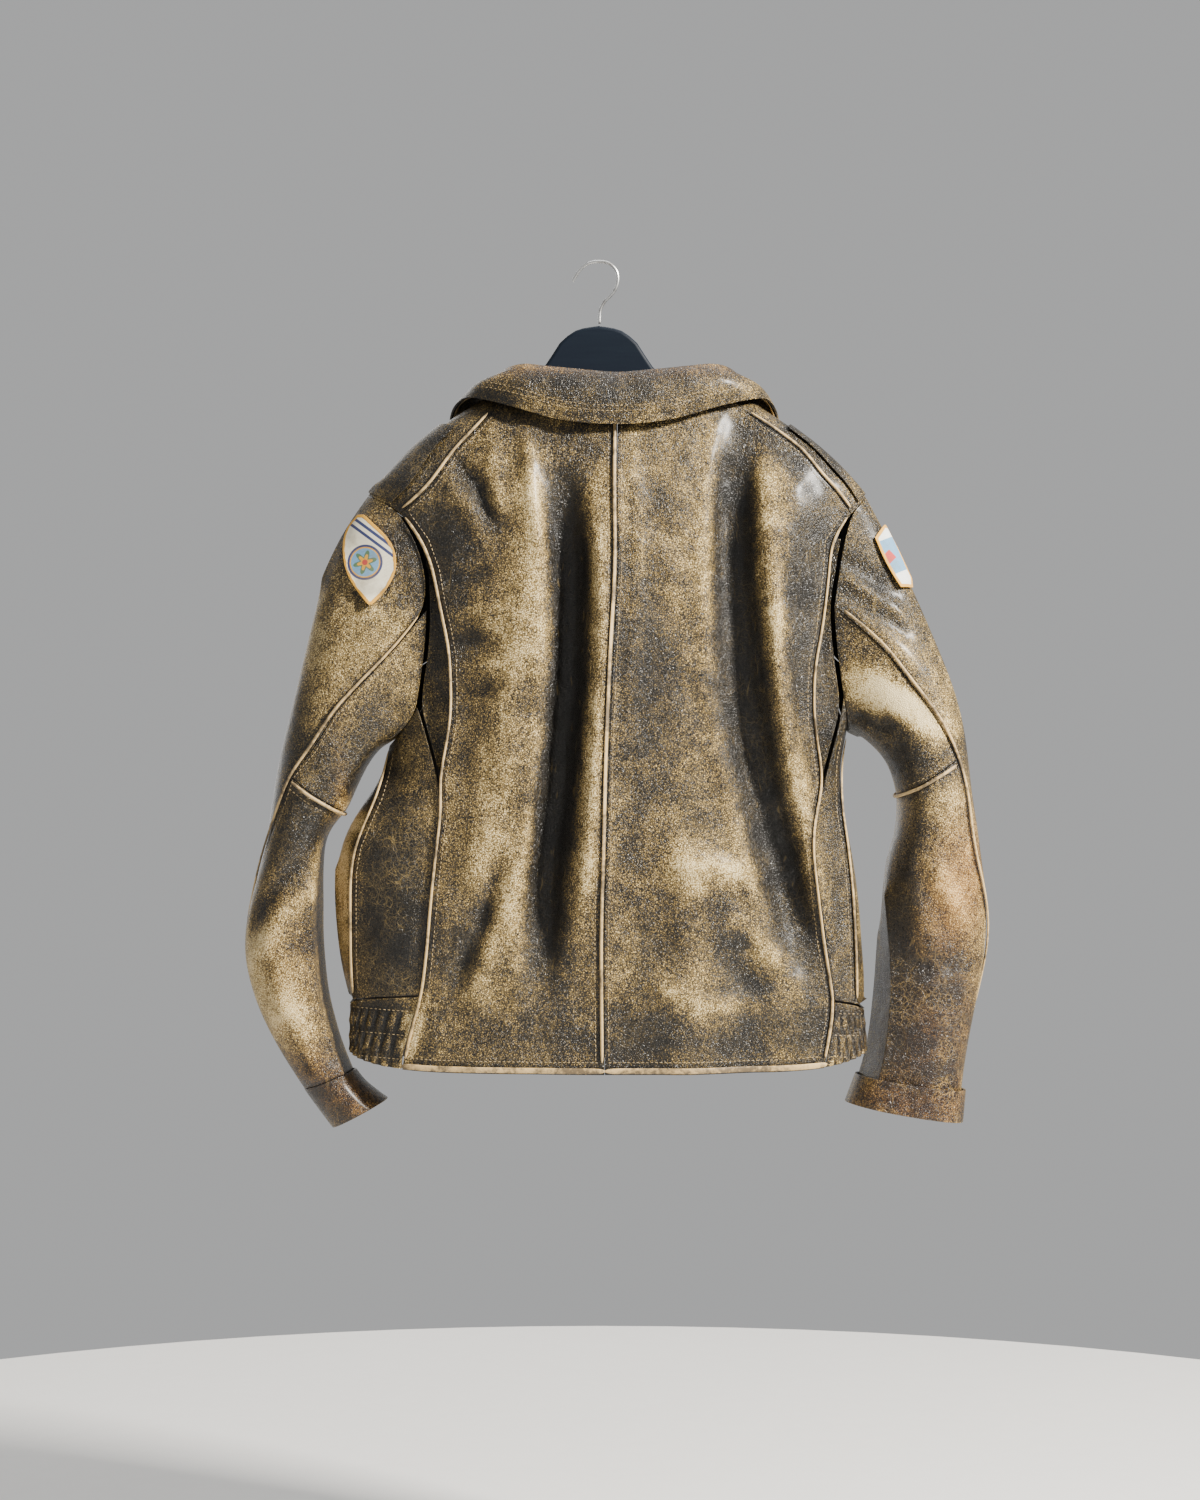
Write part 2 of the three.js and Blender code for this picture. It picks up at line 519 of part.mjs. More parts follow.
// Elastic waist: gathers that stand out between the rows of stitching
function elastic(side) {
  const backRun = backPlaces(side, side.backEdge, steps(side.elasticTop, hemAtBackEdge(side), EDGE.elastic));
  const frontRun = elasticFront(side);
  const count = GATHER.waves * GATHER.steps;
  const topAt = line([backRun[0], ...frontRun.slice(0, 4)]);
  const wave = (i) => 0.25 - Math.cos(2 * Math.PI * i / GATHER.steps);
  return backRun.map(([edge], j) => steps(0, 1, count).map((u, i) => {
    const v = j / EDGE.elastic;
    const turn = mix(edge, elasticEnd, u);
    const z = mix(topAt(turn) - GATHER.drop, hemEdge(turn), v);
    const between = j === 0 ? 0 : 0.55 + 0.45 * Math.cos(2 * Math.PI * 3 * v);
    const ends = smooth(i / 2) * smooth((count - i) / 2);
    const cell = onTorso(side, [turn, z]);
    const high = wave(i) * GATHER.high * between * ends - GATHER.sunk;
    return { point: cell.point.addScaledVector(cell.normal, high), normal: cell.normal };
  }));
}

// Sleeves: rings from the armhole to the cuff, by their outer and inner ends as seen from behind and their half-depth

const sleeves = {
  left: {
    rings: [
      [[-224, -226], [-203, -468], 46, 0], [[-262, -285], [-213, -474], 50, 2], [[-280, -350], [-222, -486], 54, 4],
      [[-298, -430], [-231, -505], 54, 6], [[-313, -495], [-243, -534], 53, 7], [[-320, -545], [-262, -556], 50, 8],
      [[-330, -595], [-264, -585], 49, 9], [[-346, -640], [-263, -636], 48, 10], [[-345, -675], [-262, -668], 46, 11],
      [[-335, -715], [-259, -703], 45, 12], [[-319, -750], [-253, -731], 43, 13], [[-300, -782], [-246, -760], 41, 14],
      [[-281, -810], [-231, -790], 39, 15], [[-259, -840], [-205, -811], 37, 16],
    ],
    seam: [[-162, -341], [-187, -365], [-212, -393], [-236, -418], [-258, -447], [-275, -476], [-294, -497],
      [-302, -517], [-309, -540]],
    elbow: [[-291, -500], [-276, -513], [-260, -523], [-246, -532]],
    cuffFrom: 0.9, turnedBack: false,
  },
  right: {
    rings: [
      [[261, -226], [241, -455], 46, 0], [[292, -285], [252, -460], 49, 2], [[312, -330], [260, -468], 52, 4],
      [[333, -380], [272, -478], 53, 5], [[350, -425], [280, -492], 53, 6], [[358, -468], [285, -510], 52, 7],
      [[362, -510], [287, -530], 51, 8], [[369, -548], [283, -556], 50, 9], [[374, -588], [272, -582], 48, 10],
      [[379, -630], [269, -630], 47, 11], [[376, -680], [268, -678], 46, 12], [[366, -730], [265, -723], 45, 13],
      [[357, -780], [259, -768], 44, 14], [[352, -834], [243, -815], 43, 15],
    ],
    seam: [[229, -325], [240, -336], [257, -363], [282, -385], [300, -412], [319, -434], [335, -463], [347, -493],
      [354, -530], [357, -561], [364, -586], [370, -607], [377, -632]],
    elbow: [[289, -515], [306, -507], [323, -496], [342, -483]],
    cuffFrom: 0.955, turnedBack: true,
  },
};

const middleOf = (side) => (side.tip + side.armpit) / 2;
const halfOf = (side) => (side.tip - side.armpit) / 2;

// The sleeve's surface, by the turn round it (0 at its outer end, positive over the back) and the way down it
function makeSleeve(key) {
  const side = sides[key];
  const { rings } = sleeves[key];
  const last = rings.length - 1;
  const along = (pick) => line(rings.map((ring, k) => [k / last, pick(ring)]));
  const outerX = along((ring) => ring[0][0]);
  const outerZ = along((ring) => ring[0][1]);
  const innerX = along((ring) => ring[1][0]);
  const innerZ = along((ring) => ring[1][1]);
  const deep = along((ring) => ring[2]);
  const shift = along((ring) => ring[3]);
  const centre = (t) => new THREE.Vector3((outerX(t) + innerX(t)) / 2, shift(t), (outerZ(t) + innerZ(t)) / 2);
  const plain = (turn, t) => {
    const swell = Math.sign(Math.sin(turn)) * Math.abs(Math.sin(turn)) ** 0.92;
    const point = centre(t).addScaledVector(
      new THREE.Vector3(outerX(t) - innerX(t), 0, outerZ(t) - innerZ(t)), Math.cos(turn) / 2);
    point.y -= deep(t) * swell;
    return point;
  };
  const middle = middleOf(side);
  const half = halfOf(side);
  const armhole = (turn) => {
    const z = middle + half * Math.cos(turn);
    const back = Math.sin(turn) > 0;
    return torso(side, back ? armTurn(side, z) : armFrontTurn(side, z), z);
  };
  const surface = (turn, t) => {
    const point = plain(turn, t);
    const fade = Math.max(1 - t / 0.34, 0) ** 2;
    if (fade > 0) point.addScaledVector(armhole(turn).sub(plain(turn, 0)), fade);
    const out = point.clone().sub(centre(t)).normalize();
    const drape = Math.abs(Math.sin(turn)) * smooth(t / 0.06) * smooth((1 - t) / 0.05);
    return point.addScaledVector(out, drape * creaseHeight(point.x, point.z));
  };
  const on = (turn, t) => onSurface(surface, turn, t, centre(t), 0.01, 0.002);
  // The turn and the way down of a place on the side seen from behind
  const place = ([x, z]) => {
    let best = [1, 0.5];
    let miss = Infinity;
    const measure = ([turn, t]) => { const p = surface(turn, t); return Math.hypot(p.x - x, p.z - z); };
    steps(0.02, Math.PI - 0.02, 24).forEach((turn) => steps(0, 1, 60).forEach((t) => {
      const far = measure([turn, t]);
      if (far < miss) [best, miss] = [[turn, t], far];
    }));
    for (let size = 0.06; size > 0.0004; size *= 0.6) {
      [[size, 0], [-size, 0], [0, size / 3], [0, -size / 3]].forEach(([a, b]) => {
        const next = [Math.min(Math.max(best[0] + a, 0), Math.PI), Math.min(Math.max(best[1] + b, 0), 1)];
        const far = measure(next);
        if (far < miss) [best, miss] = [next, far];
      });
    }
    return best;
  };
  const levelTurn = (z) => Math.acos(Math.min(Math.max((z - middle) / half, -1), 1));
  return { key, side, surface, on, place, levelTurn, centre, ...sleeves[key] };
}

// Where two panels meet at the armhole, both walls are cut along the direction between their normals
function mitred(cells, heights, sleeve, back) {
  return cells.map((cell, i) => {
    const turn = sleeve.levelTurn(heights[i]) * (back ? 1 : -1);
    const normal = sleeve.on(turn, 0).normal.add(onTorso(sleeve.side, [
      back ? armTurn(sleeve.side, heights[i]) : armFrontTurn(sleeve.side, heights[i]), heights[i]]).normal);
    return { point: cell.point, normal: normal.normalize() };
  });
}

// A sleeve's panels share the columns of the armhole's samples
function sleevePanels(sleeve) {
  const { side } = sleeve;
  const backTurns = armBack(side).map(sleeve.levelTurn);
  const frontTurns = armFront(side).map((z) => -sleeve.levelTurn(z));
  const nearest = (turns, wanted) => turns.reduce((best, turn, i) => (
    Math.abs(turn - wanted) < Math.abs(turns[best] - wanted) ? i : best), 0);
  const seamPlaces = sleeve.seam.map(sleeve.place);
  const split = nearest(backTurns, seamPlaces[0][0]);
  const splitFront = nearest(frontTurns, -1.9);
  seamPlaces[0] = [backTurns[split], 0];
  const seamAt = line([...seamPlaces, [-0.25, seamPlaces[seamPlaces.length - 1][1] + 0.12], [-0.4, 1]]
    .map(([turn, t]) => [t, turn]));
  const frontAt = line([[0, frontTurns[splitFront]], [1, -1.9]]);
  const end = sleeve.turnedBack ? 0.985 : sleeve.cuffFrom;
  const outerTurns = [...frontTurns.slice(1, splitFront + 1).reverse(), ...backTurns.slice(0, split + 1)];
  const underTurns = [...backTurns.slice(split), ...frontTurns.slice(splitFront, -1).reverse().map((t) => t + 2 * Math.PI)];
  const elbow = sleeve.elbow.map(sleeve.place).sort((a, b) => a[0] - b[0]);
  const elbowAt = line([...elbow.map(([turn, t]) => [turn, t]), [2 * Math.PI - 1.9, elbow[elbow.length - 1][1]]]);
  const [upperRows, lowerRows] = [6, 9];
  const share = (turns, i) => (turns[i] - turns[0]) / (turns[turns.length - 1] - turns[0]);
  const elbowBack = elbowAt(elbow[0][0]);
  const elbowFront = elbowAt(2 * Math.PI - 1.9);
  const outer = steps(0, 1, upperRows + lowerRows).map((_, j) => outerTurns.map((__, i) => {
    const u = share(outerTurns, i);
    const bend = mix(elbowFront, elbowBack, u);
    const t = j <= upperRows ? bend * j / upperRows : mix(bend, end, (j - upperRows) / lowerRows);
    return sleeve.on(mix(frontAt(t), seamAt(t), u), t);
  }));
  const underTurn = (u, t) => mix(seamAt(t), frontAt(t) + 2 * Math.PI, u);
  const bendAt = (u) => (u === 0 ? elbowBack : elbowAt(underTurn(u, mix(elbowBack, elbowFront, u))));
  const underPlace = (from, to, rows) => steps(0, 1, rows).map((v) => underTurns.map((_, i) => {
    const u = share(underTurns, i);
    const t = mix(from(u), to(u), v);
    return [underTurn(u, t), t];
  }));
  const upper = underPlace(() => 0, bendAt, upperRows);
  const lower = underPlace(bendAt, () => end, lowerRows);
  const on = (places) => places.map((row) => row.map(([turn, t]) => sleeve.on(turn, t)));
  const atArmhole = (row, turns) => row.map((cell, i) => {
    const turn = turns[i] > Math.PI ? turns[i] - 2 * Math.PI : turns[i];
    const height = middleOf(side) + halfOf(side) * Math.cos(turn);
    return mitred([cell], [height], sleeve, turn >= 0)[0];
  });
  const upperGrid = on(upper);
  outer[0] = atArmhole(outer[0], outerTurns);
  upperGrid[0] = atArmhole(upperGrid[0], underTurns);
  return { outer, upper: upperGrid, lower: on(lower) };
}

function cuff(sleeve) {
  const around = steps(0, 2 * Math.PI, 24).slice(0, -1);
  const rows = steps(sleeve.cuffFrom, 1, 3);
  return rows.map((t) => around.map((turn) => sleeve.on(turn, t)));
}

// Patches: rows between a left and a right outline, laid on the sleeve
const patches = {
  left: {
    heights: [-246, -256, -266, -280, -300, -318, -334],
    low: line([[-246, -231], [-256, -240], [-275, -246], [-300, -243], [-320, -232], [-334, -220]]),
    high: line([[-246, -224], [-256, -214], [-270, -200], [-290, -191], [-310, -196], [-334, -216]]),
  },
  right: {
    heights: [-255, -268, -281, -294, -307, -316],
    low: line([[-255, 274], [-268, 265], [-281, 270], [-294, 276], [-316, 290]]),
    high: line([[-255, 280], [-268, 286], [-281, 291], [-294, 297], [-316, 302]]),
  },
};

function patch(sleeve) {
  const shape = patches[sleeve.key];
  return shape.heights.map((z) => steps(0, 1, 5).map((u) => {
    const x = mix(shape.low(z), shape.high(z), u);
    return sleeve.on(...sleeve.place([x, z]));
  }));
}

// Shoulder straps on the yoke, sewn down just short of the armhole and running in under the collar
const STRAP = { rows: 2, end: 0.12 };
function epaulette(grid) {
  const rows = grid.slice(STRAP.rows).map((row) => row.slice(1, -1));
  const before = rows[rows.length - 2];
  const end = rows[rows.length - 1].map((cell, i) => ({
    point: cell.point.clone().lerp(before[i].point, STRAP.end), normal: before[i].normal,
  }));
  return [...rows.slice(0, -1), end];
}

// The collar: a stand on the neck edge, a fold, and a fall that lies on the shoulders
const collar = {
  rise: line([[-QUARTER, 19], [-1.1, 23], [-0.8, 24], [-0.45, 17], [-0.1, 9], [0.4, 8], [1.1, 10], [QUARTER, 9]]),
  fallTurn: line([[-QUARTER, -QUARTER], [-1.3, -1.33], [-1, -1.08], [-0.65, -0.62], [-0.25, -0.15], [0.15, 0.24],
    [0.5, 0.7], [0.85, 1.05], [1.15, 1.22], [QUARTER, 1.47]]),
  fallHeight: line([[-QUARTER, -164], [-1.3, -161], [-1, -152], [-0.65, -141], [-0.25, -139], [0.15, -150],
    [0.5, -182], [0.85, -232], [1.15, -222], [QUARTER, -204]]),
  lift: 8.5, fold: 4, stop: 1.5,
};

function collarSection(side, turn) {
  const neck = onTorso(side, neckPlace(turn));
  const out = new THREE.Vector3(neck.normal.x, neck.normal.y, 0).normalize();
  const up = new THREE.Vector3(0, 0, 1);
  const base = neck.point.clone().addScaledVector(up, 0.9);
  const rise = collar.rise(turn);
  const ridge = base.clone().addScaledVector(up, rise).addScaledVector(out, 4);
  const fall = onTorso(side, [collar.fallTurn(turn), collar.fallHeight(turn)]);
  const edge = fall.point.clone().addScaledVector(fall.normal, collar.lift);
  const outside = ridge.clone().addScaledVector(out, collar.fold).addScaledVector(up, -3);
  const near = (t) => outside.clone().lerp(edge, t).addScaledVector(fall.normal, 5 * Math.sin(Math.PI * t))
    .addScaledVector(out, 2 * Math.sin(Math.PI * t));
  return [
    base, base.clone().lerp(ridge, 0.55).addScaledVector(out, -1.5),
    ridge.clone().addScaledVector(out, -collar.fold).addScaledVector(up, -3),
    ridge.clone().addScaledVector(up, 0.5), outside, near(0.36), near(0.7), edge,
  ];
}

// Normals of a grid from its own neighbours, all on the side that the first guide points to
function withNormals(points, guide) {
  const rows = points.length;
  const columns = points[0].length;
  return points.map((row, j) => row.map((point, i) => {
    const across = points[j][Math.min(i + 1, columns - 1)].clone().sub(points[j][Math.max(i - 1, 0)]);
    const down = points[Math.min(j + 1, rows - 1)][i].clone().sub(points[Math.max(j - 1, 0)][i]);
    return { point, normal: across.cross(down).normalize().multiplyScalar(guide) };
  }));
}

function collarGrid() {
  const turns = [...steps(-QUARTER, -0.2, 7), ...steps(0, 1.15, 6), 1.32, collar.stop];
  const leftHalf = turns.map((turn) => collarSection(sides.left, turn)).reverse();
  const rightHalf = turns.slice(1).map((turn) => collarSection(sides.right, turn));
  return withNormals([...leftHalf, ...rightHalf], -1);
}

// Solids with flat ends
function extruded(name, outline, depth, material, place = (mesh) => mesh) {
  const shape = new THREE.Shape(outline.map(([x, y]) => new THREE.Vector2(x, y)));
  const geometry = new THREE.ExtrudeGeometry(shape, { depth, bevelEnabled: false });
  const mesh = new THREE.Mesh(geometry, material);
  mesh.name = name;
  return place(mesh);
}

// Hanger: a wooden arch, round at the shoulders, and a wire hook

function hangerBody() {
  const top = line([[0, -61], [18, -64], [36, -76], [52, -100], [70, -116], [95, -130], [134, -154], [165, -178], [186, -202]]);
  const deep = line([[0, 50], [30, 42], [52, 26], [95, 24], [150, 20], [186, 12]]);
  const half = [...steps(0, 60, 8), ...steps(75, 186, 7)];
  const upper = [...half.slice(1).reverse().map((x) => [-x, top(x)]), ...half.map((x) => [x, top(x)])];
  const lower = [...half.slice(1).reverse().map((x) => [x, top(x) - deep(x)]), ...half.map((x) => [-x, top(x) - deep(x)])];
  return extruded('hanger_body', [...upper, ...lower], HANGER.thick, finishes.wood, (mesh) => {
    mesh.rotation.x = Math.PI / 2;
    mesh.position.y = HANGER.thick / 2;
    return mesh;
  });
}

function hangerHook() {
  const radius = HANGER.wire / 2;
  const route = [[1, -60.5], [1.5, -48], [5, -40], [12, -33], [17, -26], [19, -17], [17, -8], [10, -1.5], [1, 0],
    [-8, -1], [-15.5, -5.5], [-22, -14], [-25, -19.5]].map(([x, z]) => new THREE.Vector3(x, 0, z + radius));
  const section = new THREE.Shape(steps(0, 2 * Math.PI, 8).slice(0, -1)
    .map((turn) => new THREE.Vector2(radius * Math.cos(turn), radius * Math.sin(turn))));
  const geometry = new THREE.ExtrudeGeometry(section, {
    steps: 30, bevelEnabled: false, extrudePath: new THREE.CatmullRomCurve3(route),
  });
  const mesh = new THREE.Mesh(geometry, finishes.wire);
  mesh.name = 'hanger_hook';
  return mesh;
}

// Zip on the front: tape behind the two edges, the closed chain between them, a slider and a pull tab

const zipPlace = (x, z) => onTorso(sides.right, [-backTurn(sides.right, x, z), z]);

function zipTape() {
  return steps(ZIP.top, ZIP.bottom, 20).map((z) => steps(-ZIP.tape, ZIP.tape, 4).map((x) => {
    const cell = zipPlace(ZIP.middle + x, z);
    return { point: cell.point.addScaledVector(cell.normal, -LEATHER - 1.2), normal: cell.normal };
  }));
}

function zipChain() {
  return steps(ZIP.top - 4, ZIP.bottom + 4, 20).map((z) => steps(-ZIP.chain, ZIP.chain, 2).map((x) => {
    const cell = zipPlace(ZIP.middle + x, z);
    return { point: cell.point.addScaledVector(cell.normal, 0.6), normal: cell.normal };
  }));
}

// The slider is a plate with a bridge over it, and the pull tab hangs by its bar inside the bridge
const SLIDER = { z: -214, wide: 9, high: 13, thick: 3, clear: 1.6 };
const BRIDGE = { wide: 2.4, bar: 1.4, inside: [3, 8] };
const PULL = { wide: 7, long: 26, thick: 1.4, window: [3.6, 6.9] };   // the window swings clear of the bridge's corners
const plateBack = zipPlace(ZIP.middle, SLIDER.z).point.y + SLIDER.clear;
const bridgeBack = plateBack + SLIDER.thick + 0.3;
const pullAxis = { y: bridgeBack + BRIDGE.bar + BRIDGE.inside[0] / 2, z: SLIDER.z + 1 };

// An outline in Y and Z, with its holes, built up along X about the zip's middle
function acrossZip(name, outline, holes, wide) {
  const toVectors = (points) => points.map(([y, z]) => new THREE.Vector2(y, z));
  const shape = new THREE.Shape(toVectors(outline));
  holes.forEach((hole) => shape.holes.push(new THREE.Path(toVectors(hole))));
  const geometry = new THREE.ExtrudeGeometry(shape, { depth: wide, bevelEnabled: false });
  geometry.rotateX(QUARTER).rotateZ(QUARTER);
  const mesh = new THREE.Mesh(geometry, finishes.metal);
  mesh.name = name;
  mesh.position.x = ZIP.middle - wide / 2;
  return mesh;
}

const rectangle = (low, high, bottom, top) => [[low, bottom], [high, bottom], [high, top], [low, top]];

function zipSlider() {
  const half = SLIDER.high / 2;
  return acrossZip('zip_slider', rectangle(plateBack, plateBack + SLIDER.thick, SLIDER.z - half, SLIDER.z + half),
    [], SLIDER.wide);
}

function zipBridge() {
  const [deep, tall] = BRIDGE.inside;
  const { bar } = BRIDGE;
  const outside = rectangle(bridgeBack, bridgeBack + deep + 2 * bar, SLIDER.z - tall / 2 - bar, SLIDER.z + tall / 2 + bar);
  const hole = rectangle(bridgeBack + bar, bridgeBack + bar + deep, SLIDER.z - tall / 2, SLIDER.z + tall / 2);
  return acrossZip('zip_bridge', outside, [hole], BRIDGE.wide);
}

function zipPull() {
  const { wide, long, thick, window: [gap, tall] } = PULL;
  const half = thick / 2;
  const shape = new THREE.Shape([[-wide / 2, half], [-wide / 2, 4 - long], [2 - wide / 2, -long], [wide / 2 - 2, -long],
    [wide / 2, 4 - long], [wide / 2, half]].map(([x, z]) => new THREE.Vector2(x, z)));
  shape.holes.push(new THREE.Path(rectangle(-gap / 2, gap / 2, -half - tall, -half)
    .map(([x, z]) => new THREE.Vector2(x, z))));
  const geometry = new THREE.ExtrudeGeometry(shape, { depth: thick, bevelEnabled: false });
  geometry.rotateX(QUARTER);
  const mesh = new THREE.Mesh(geometry, finishes.metal);
  mesh.name = 'zip_pull';
  mesh.position.set(ZIP.middle, pullAxis.y + half, pullAxis.z);
  return mesh;
}

// The whole object
const jacket = new THREE.Group();
const ends = { hem: [4, BAND.width + 2], neck: [26, BAND.width + 2] };

Object.entries(sides).forEach(([key, side]) => {
  const sleeve = makeSleeve(key);
  const panels = sleevePanels(sleeve);
  const backGrid = back(side);
  const yokeGrid = yoke(side, sleeve);
  const sideGrid = sidePanel(side, sleeve);
  const [outerLast, visible] = [column(panels.outer, -1), 9];
  jacket.add(
    wall(`back_${key}`, backGrid, finishes.leather),
    wall(`gusset_${key}`, gusset(side), finishes.leather),
    wall(`side_panel_${key}`, sideGrid, finishes.leather),
    wall(`elastic_${key}`, elastic(side), finishes.leather, { seam: 0.9 }),
    wall(`front_${key}`, front(side, sleeve), finishes.leather, { seam: 0.35 }),
    wall(`yoke_${key}`, yokeGrid, finishes.leather),
    wall(`epaulette_${key}`, epaulette(yokeGrid), finishes.worn, { thick: 1.6, lift: 2.4 }),
    wall(`sleeve_outer_${key}`, panels.outer, finishes.leather, { seam: 0.25 }),
    wall(`sleeve_under_upper_${key}`, panels.upper, finishes.worn, { seam: 0.4 }),
    wall(`sleeve_under_lower_${key}`, panels.lower, finishes.leather, { seam: 0.25 }),
    wall(`cuff_${key}`, cuff(sleeve), finishes.worn, {
      closed: true, lift: sleeve.turnedBack ? 3.8 : 0, thick: sleeve.turnedBack ? 2.8 : LEATHER,
    }),
    wall(`arm_patch_${key}`, patch(sleeve), finishes.patch, {
      lift: PATCH.lift + PATCH.thick, thick: PATCH.thick,
    }),
    edging(`piping_back_edge_${key}`, column(backGrid, 0), column(backGrid, 1), PIPING, ends.hem),
    edging(`piping_yoke_${key}`, column(yokeGrid, 0).slice(1), column(yokeGrid, 1).slice(1)),
    edging(`piping_sleeve_${key}`, outerLast, column(panels.outer, -2), SLEEVE_PIPING, [8, sleeve.turnedBack ? 36 : 4]),
    edging(`piping_elbow_${key}`, panels.lower[0].slice(0, visible), panels.lower[1].slice(0, visible),
      SLEEVE_PIPING),
    edging(`piping_side_${key}`, column(sideGrid, 0), column(sideGrid, 1)),
    edging(`hem_band_${key}`, backGrid[backGrid.length - 1], backGrid[backGrid.length - 2], BAND, [0.4, 0.4]),
  );
});

const centreGrid = back(sides.left);
const collarCells = collarGrid();
jacket.add(
  edging('piping_centre_back', column(centreGrid, -1), column(centreGrid, -2), PIPING, ends.neck),
  wall('collar', collarCells, finishes.leather, { thick: COLLAR_LEATHER, seam: 0 }),
  edging('collar_binding', column(collarCells, -1), column(collarCells, -2), { ...BAND, lift: 1.2 }, [1, 1]),
  wall('zip_tape', zipTape(), finishes.tape, { thick: 0.9 }),
  wall('zip_chain', zipChain(), finishes.metal, { thick: 2 }),
  zipSlider(),
  zipBridge(),
  zipPull(),
  hangerBody(),
  hangerHook(),
);

export default jacket;
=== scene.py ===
"""A worn leather jacket on a wooden hanger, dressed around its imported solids.

The jacket hangs with its back to the camera. Places are in millimetres in the part's own frame (X across,
Y away from the camera, Z up from the hanger's hook) until a mesh is written in metres.
"""

import logging
import math
from dataclasses import dataclass, field
from enum import Enum

import bmesh
import bpy
import numpy as np
from mathutils import Matrix, Vector
from mathutils.bvhtree import BVHTree
from mathutils.kdtree import KDTree


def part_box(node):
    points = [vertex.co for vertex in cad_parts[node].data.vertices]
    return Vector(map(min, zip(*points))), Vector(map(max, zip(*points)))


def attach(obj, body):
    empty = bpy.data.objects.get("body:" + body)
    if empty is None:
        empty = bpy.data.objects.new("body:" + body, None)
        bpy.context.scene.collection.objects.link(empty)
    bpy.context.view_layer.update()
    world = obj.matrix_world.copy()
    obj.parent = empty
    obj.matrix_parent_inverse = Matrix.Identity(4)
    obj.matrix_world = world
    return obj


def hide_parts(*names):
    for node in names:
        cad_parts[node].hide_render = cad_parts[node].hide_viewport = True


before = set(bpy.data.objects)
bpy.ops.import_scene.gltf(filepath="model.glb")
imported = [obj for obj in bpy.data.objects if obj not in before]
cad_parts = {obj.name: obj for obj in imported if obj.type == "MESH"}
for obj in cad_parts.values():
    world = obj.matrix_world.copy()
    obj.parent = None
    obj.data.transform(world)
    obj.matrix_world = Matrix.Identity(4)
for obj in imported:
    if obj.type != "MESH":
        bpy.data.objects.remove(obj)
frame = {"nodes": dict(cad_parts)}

log = logging.getLogger("jacket")
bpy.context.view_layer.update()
MM = 0.001
JACKET_BODY = "jacket"
PULL_BODY = "pull"
SIDES = ("left", "right")

Colour = tuple[float, float, float]
Place = tuple[float, float]


class Side(Enum):
    """Which way a form on the jacket faces."""

    BACK = -1
    FRONT = 1


# Small helpers


def tree_of(points: list[Vector]) -> KDTree:
    """Makes a tree that finds the nearest of some points.

    Args:
        points: the points.

    Returns:
        The balanced tree.
    """
    tree = KDTree(len(points))
    for i, point in enumerate(points):
        tree.insert(point, i)
    tree.balance()
    return tree


def mesh_of(shape: bmesh.types.BMesh, name: str) -> bpy.types.Mesh:
    """Turns a shape into a mesh and frees the shape.

    Args:
        shape: the shape.
        name: the mesh's name.

    Returns:
        The new mesh.
    """
    mesh = bpy.data.meshes.new(name)
    shape.to_mesh(mesh)
    shape.free()
    return mesh


def object_of(data: bpy.types.ID, name: str) -> bpy.types.Object:
    """Puts data into the scene as an object.

    Args:
        data: a mesh, a lamp or a camera.
        name: the object's name.

    Returns:
        The new object.
    """
    made = bpy.data.objects.new(name, data)
    bpy.context.scene.collection.objects.link(made)
    return made


def corners(shape: bmesh.types.BMesh, corner: float) -> list[bmesh.types.BMEdge]:
    """The edges at which a shape turns by more than an angle in degrees."""
    return [e for e in shape.edges if e.is_manifold and e.calc_face_angle(0.0) > math.radians(corner)]


def bevelled(shape: bmesh.types.BMesh, edges: list[bmesh.types.BMEdge], radius: float, segments: int) -> dict:
    """Rounds a shape's edges by a radius in millimetres and hands back what the operator says."""
    return bmesh.ops.bevel(shape, geom=edges, offset=radius * MM, offset_type="OFFSET", segments=segments,
                           profile=0.5, affect="EDGES", clamp_overlap=True, material=-1)


def vectors(mesh: bpy.types.Mesh, what: str) -> np.ndarray:
    """Reads one vector of each of a mesh's points.

    Args:
        mesh: the mesh.
        what: co or normal.

    Returns:
        A row for each point.
    """
    flat = np.zeros(len(mesh.vertices) * 3)
    mesh.vertices.foreach_get(what, flat)
    return flat.reshape(-1, 3)


# Shader expressions


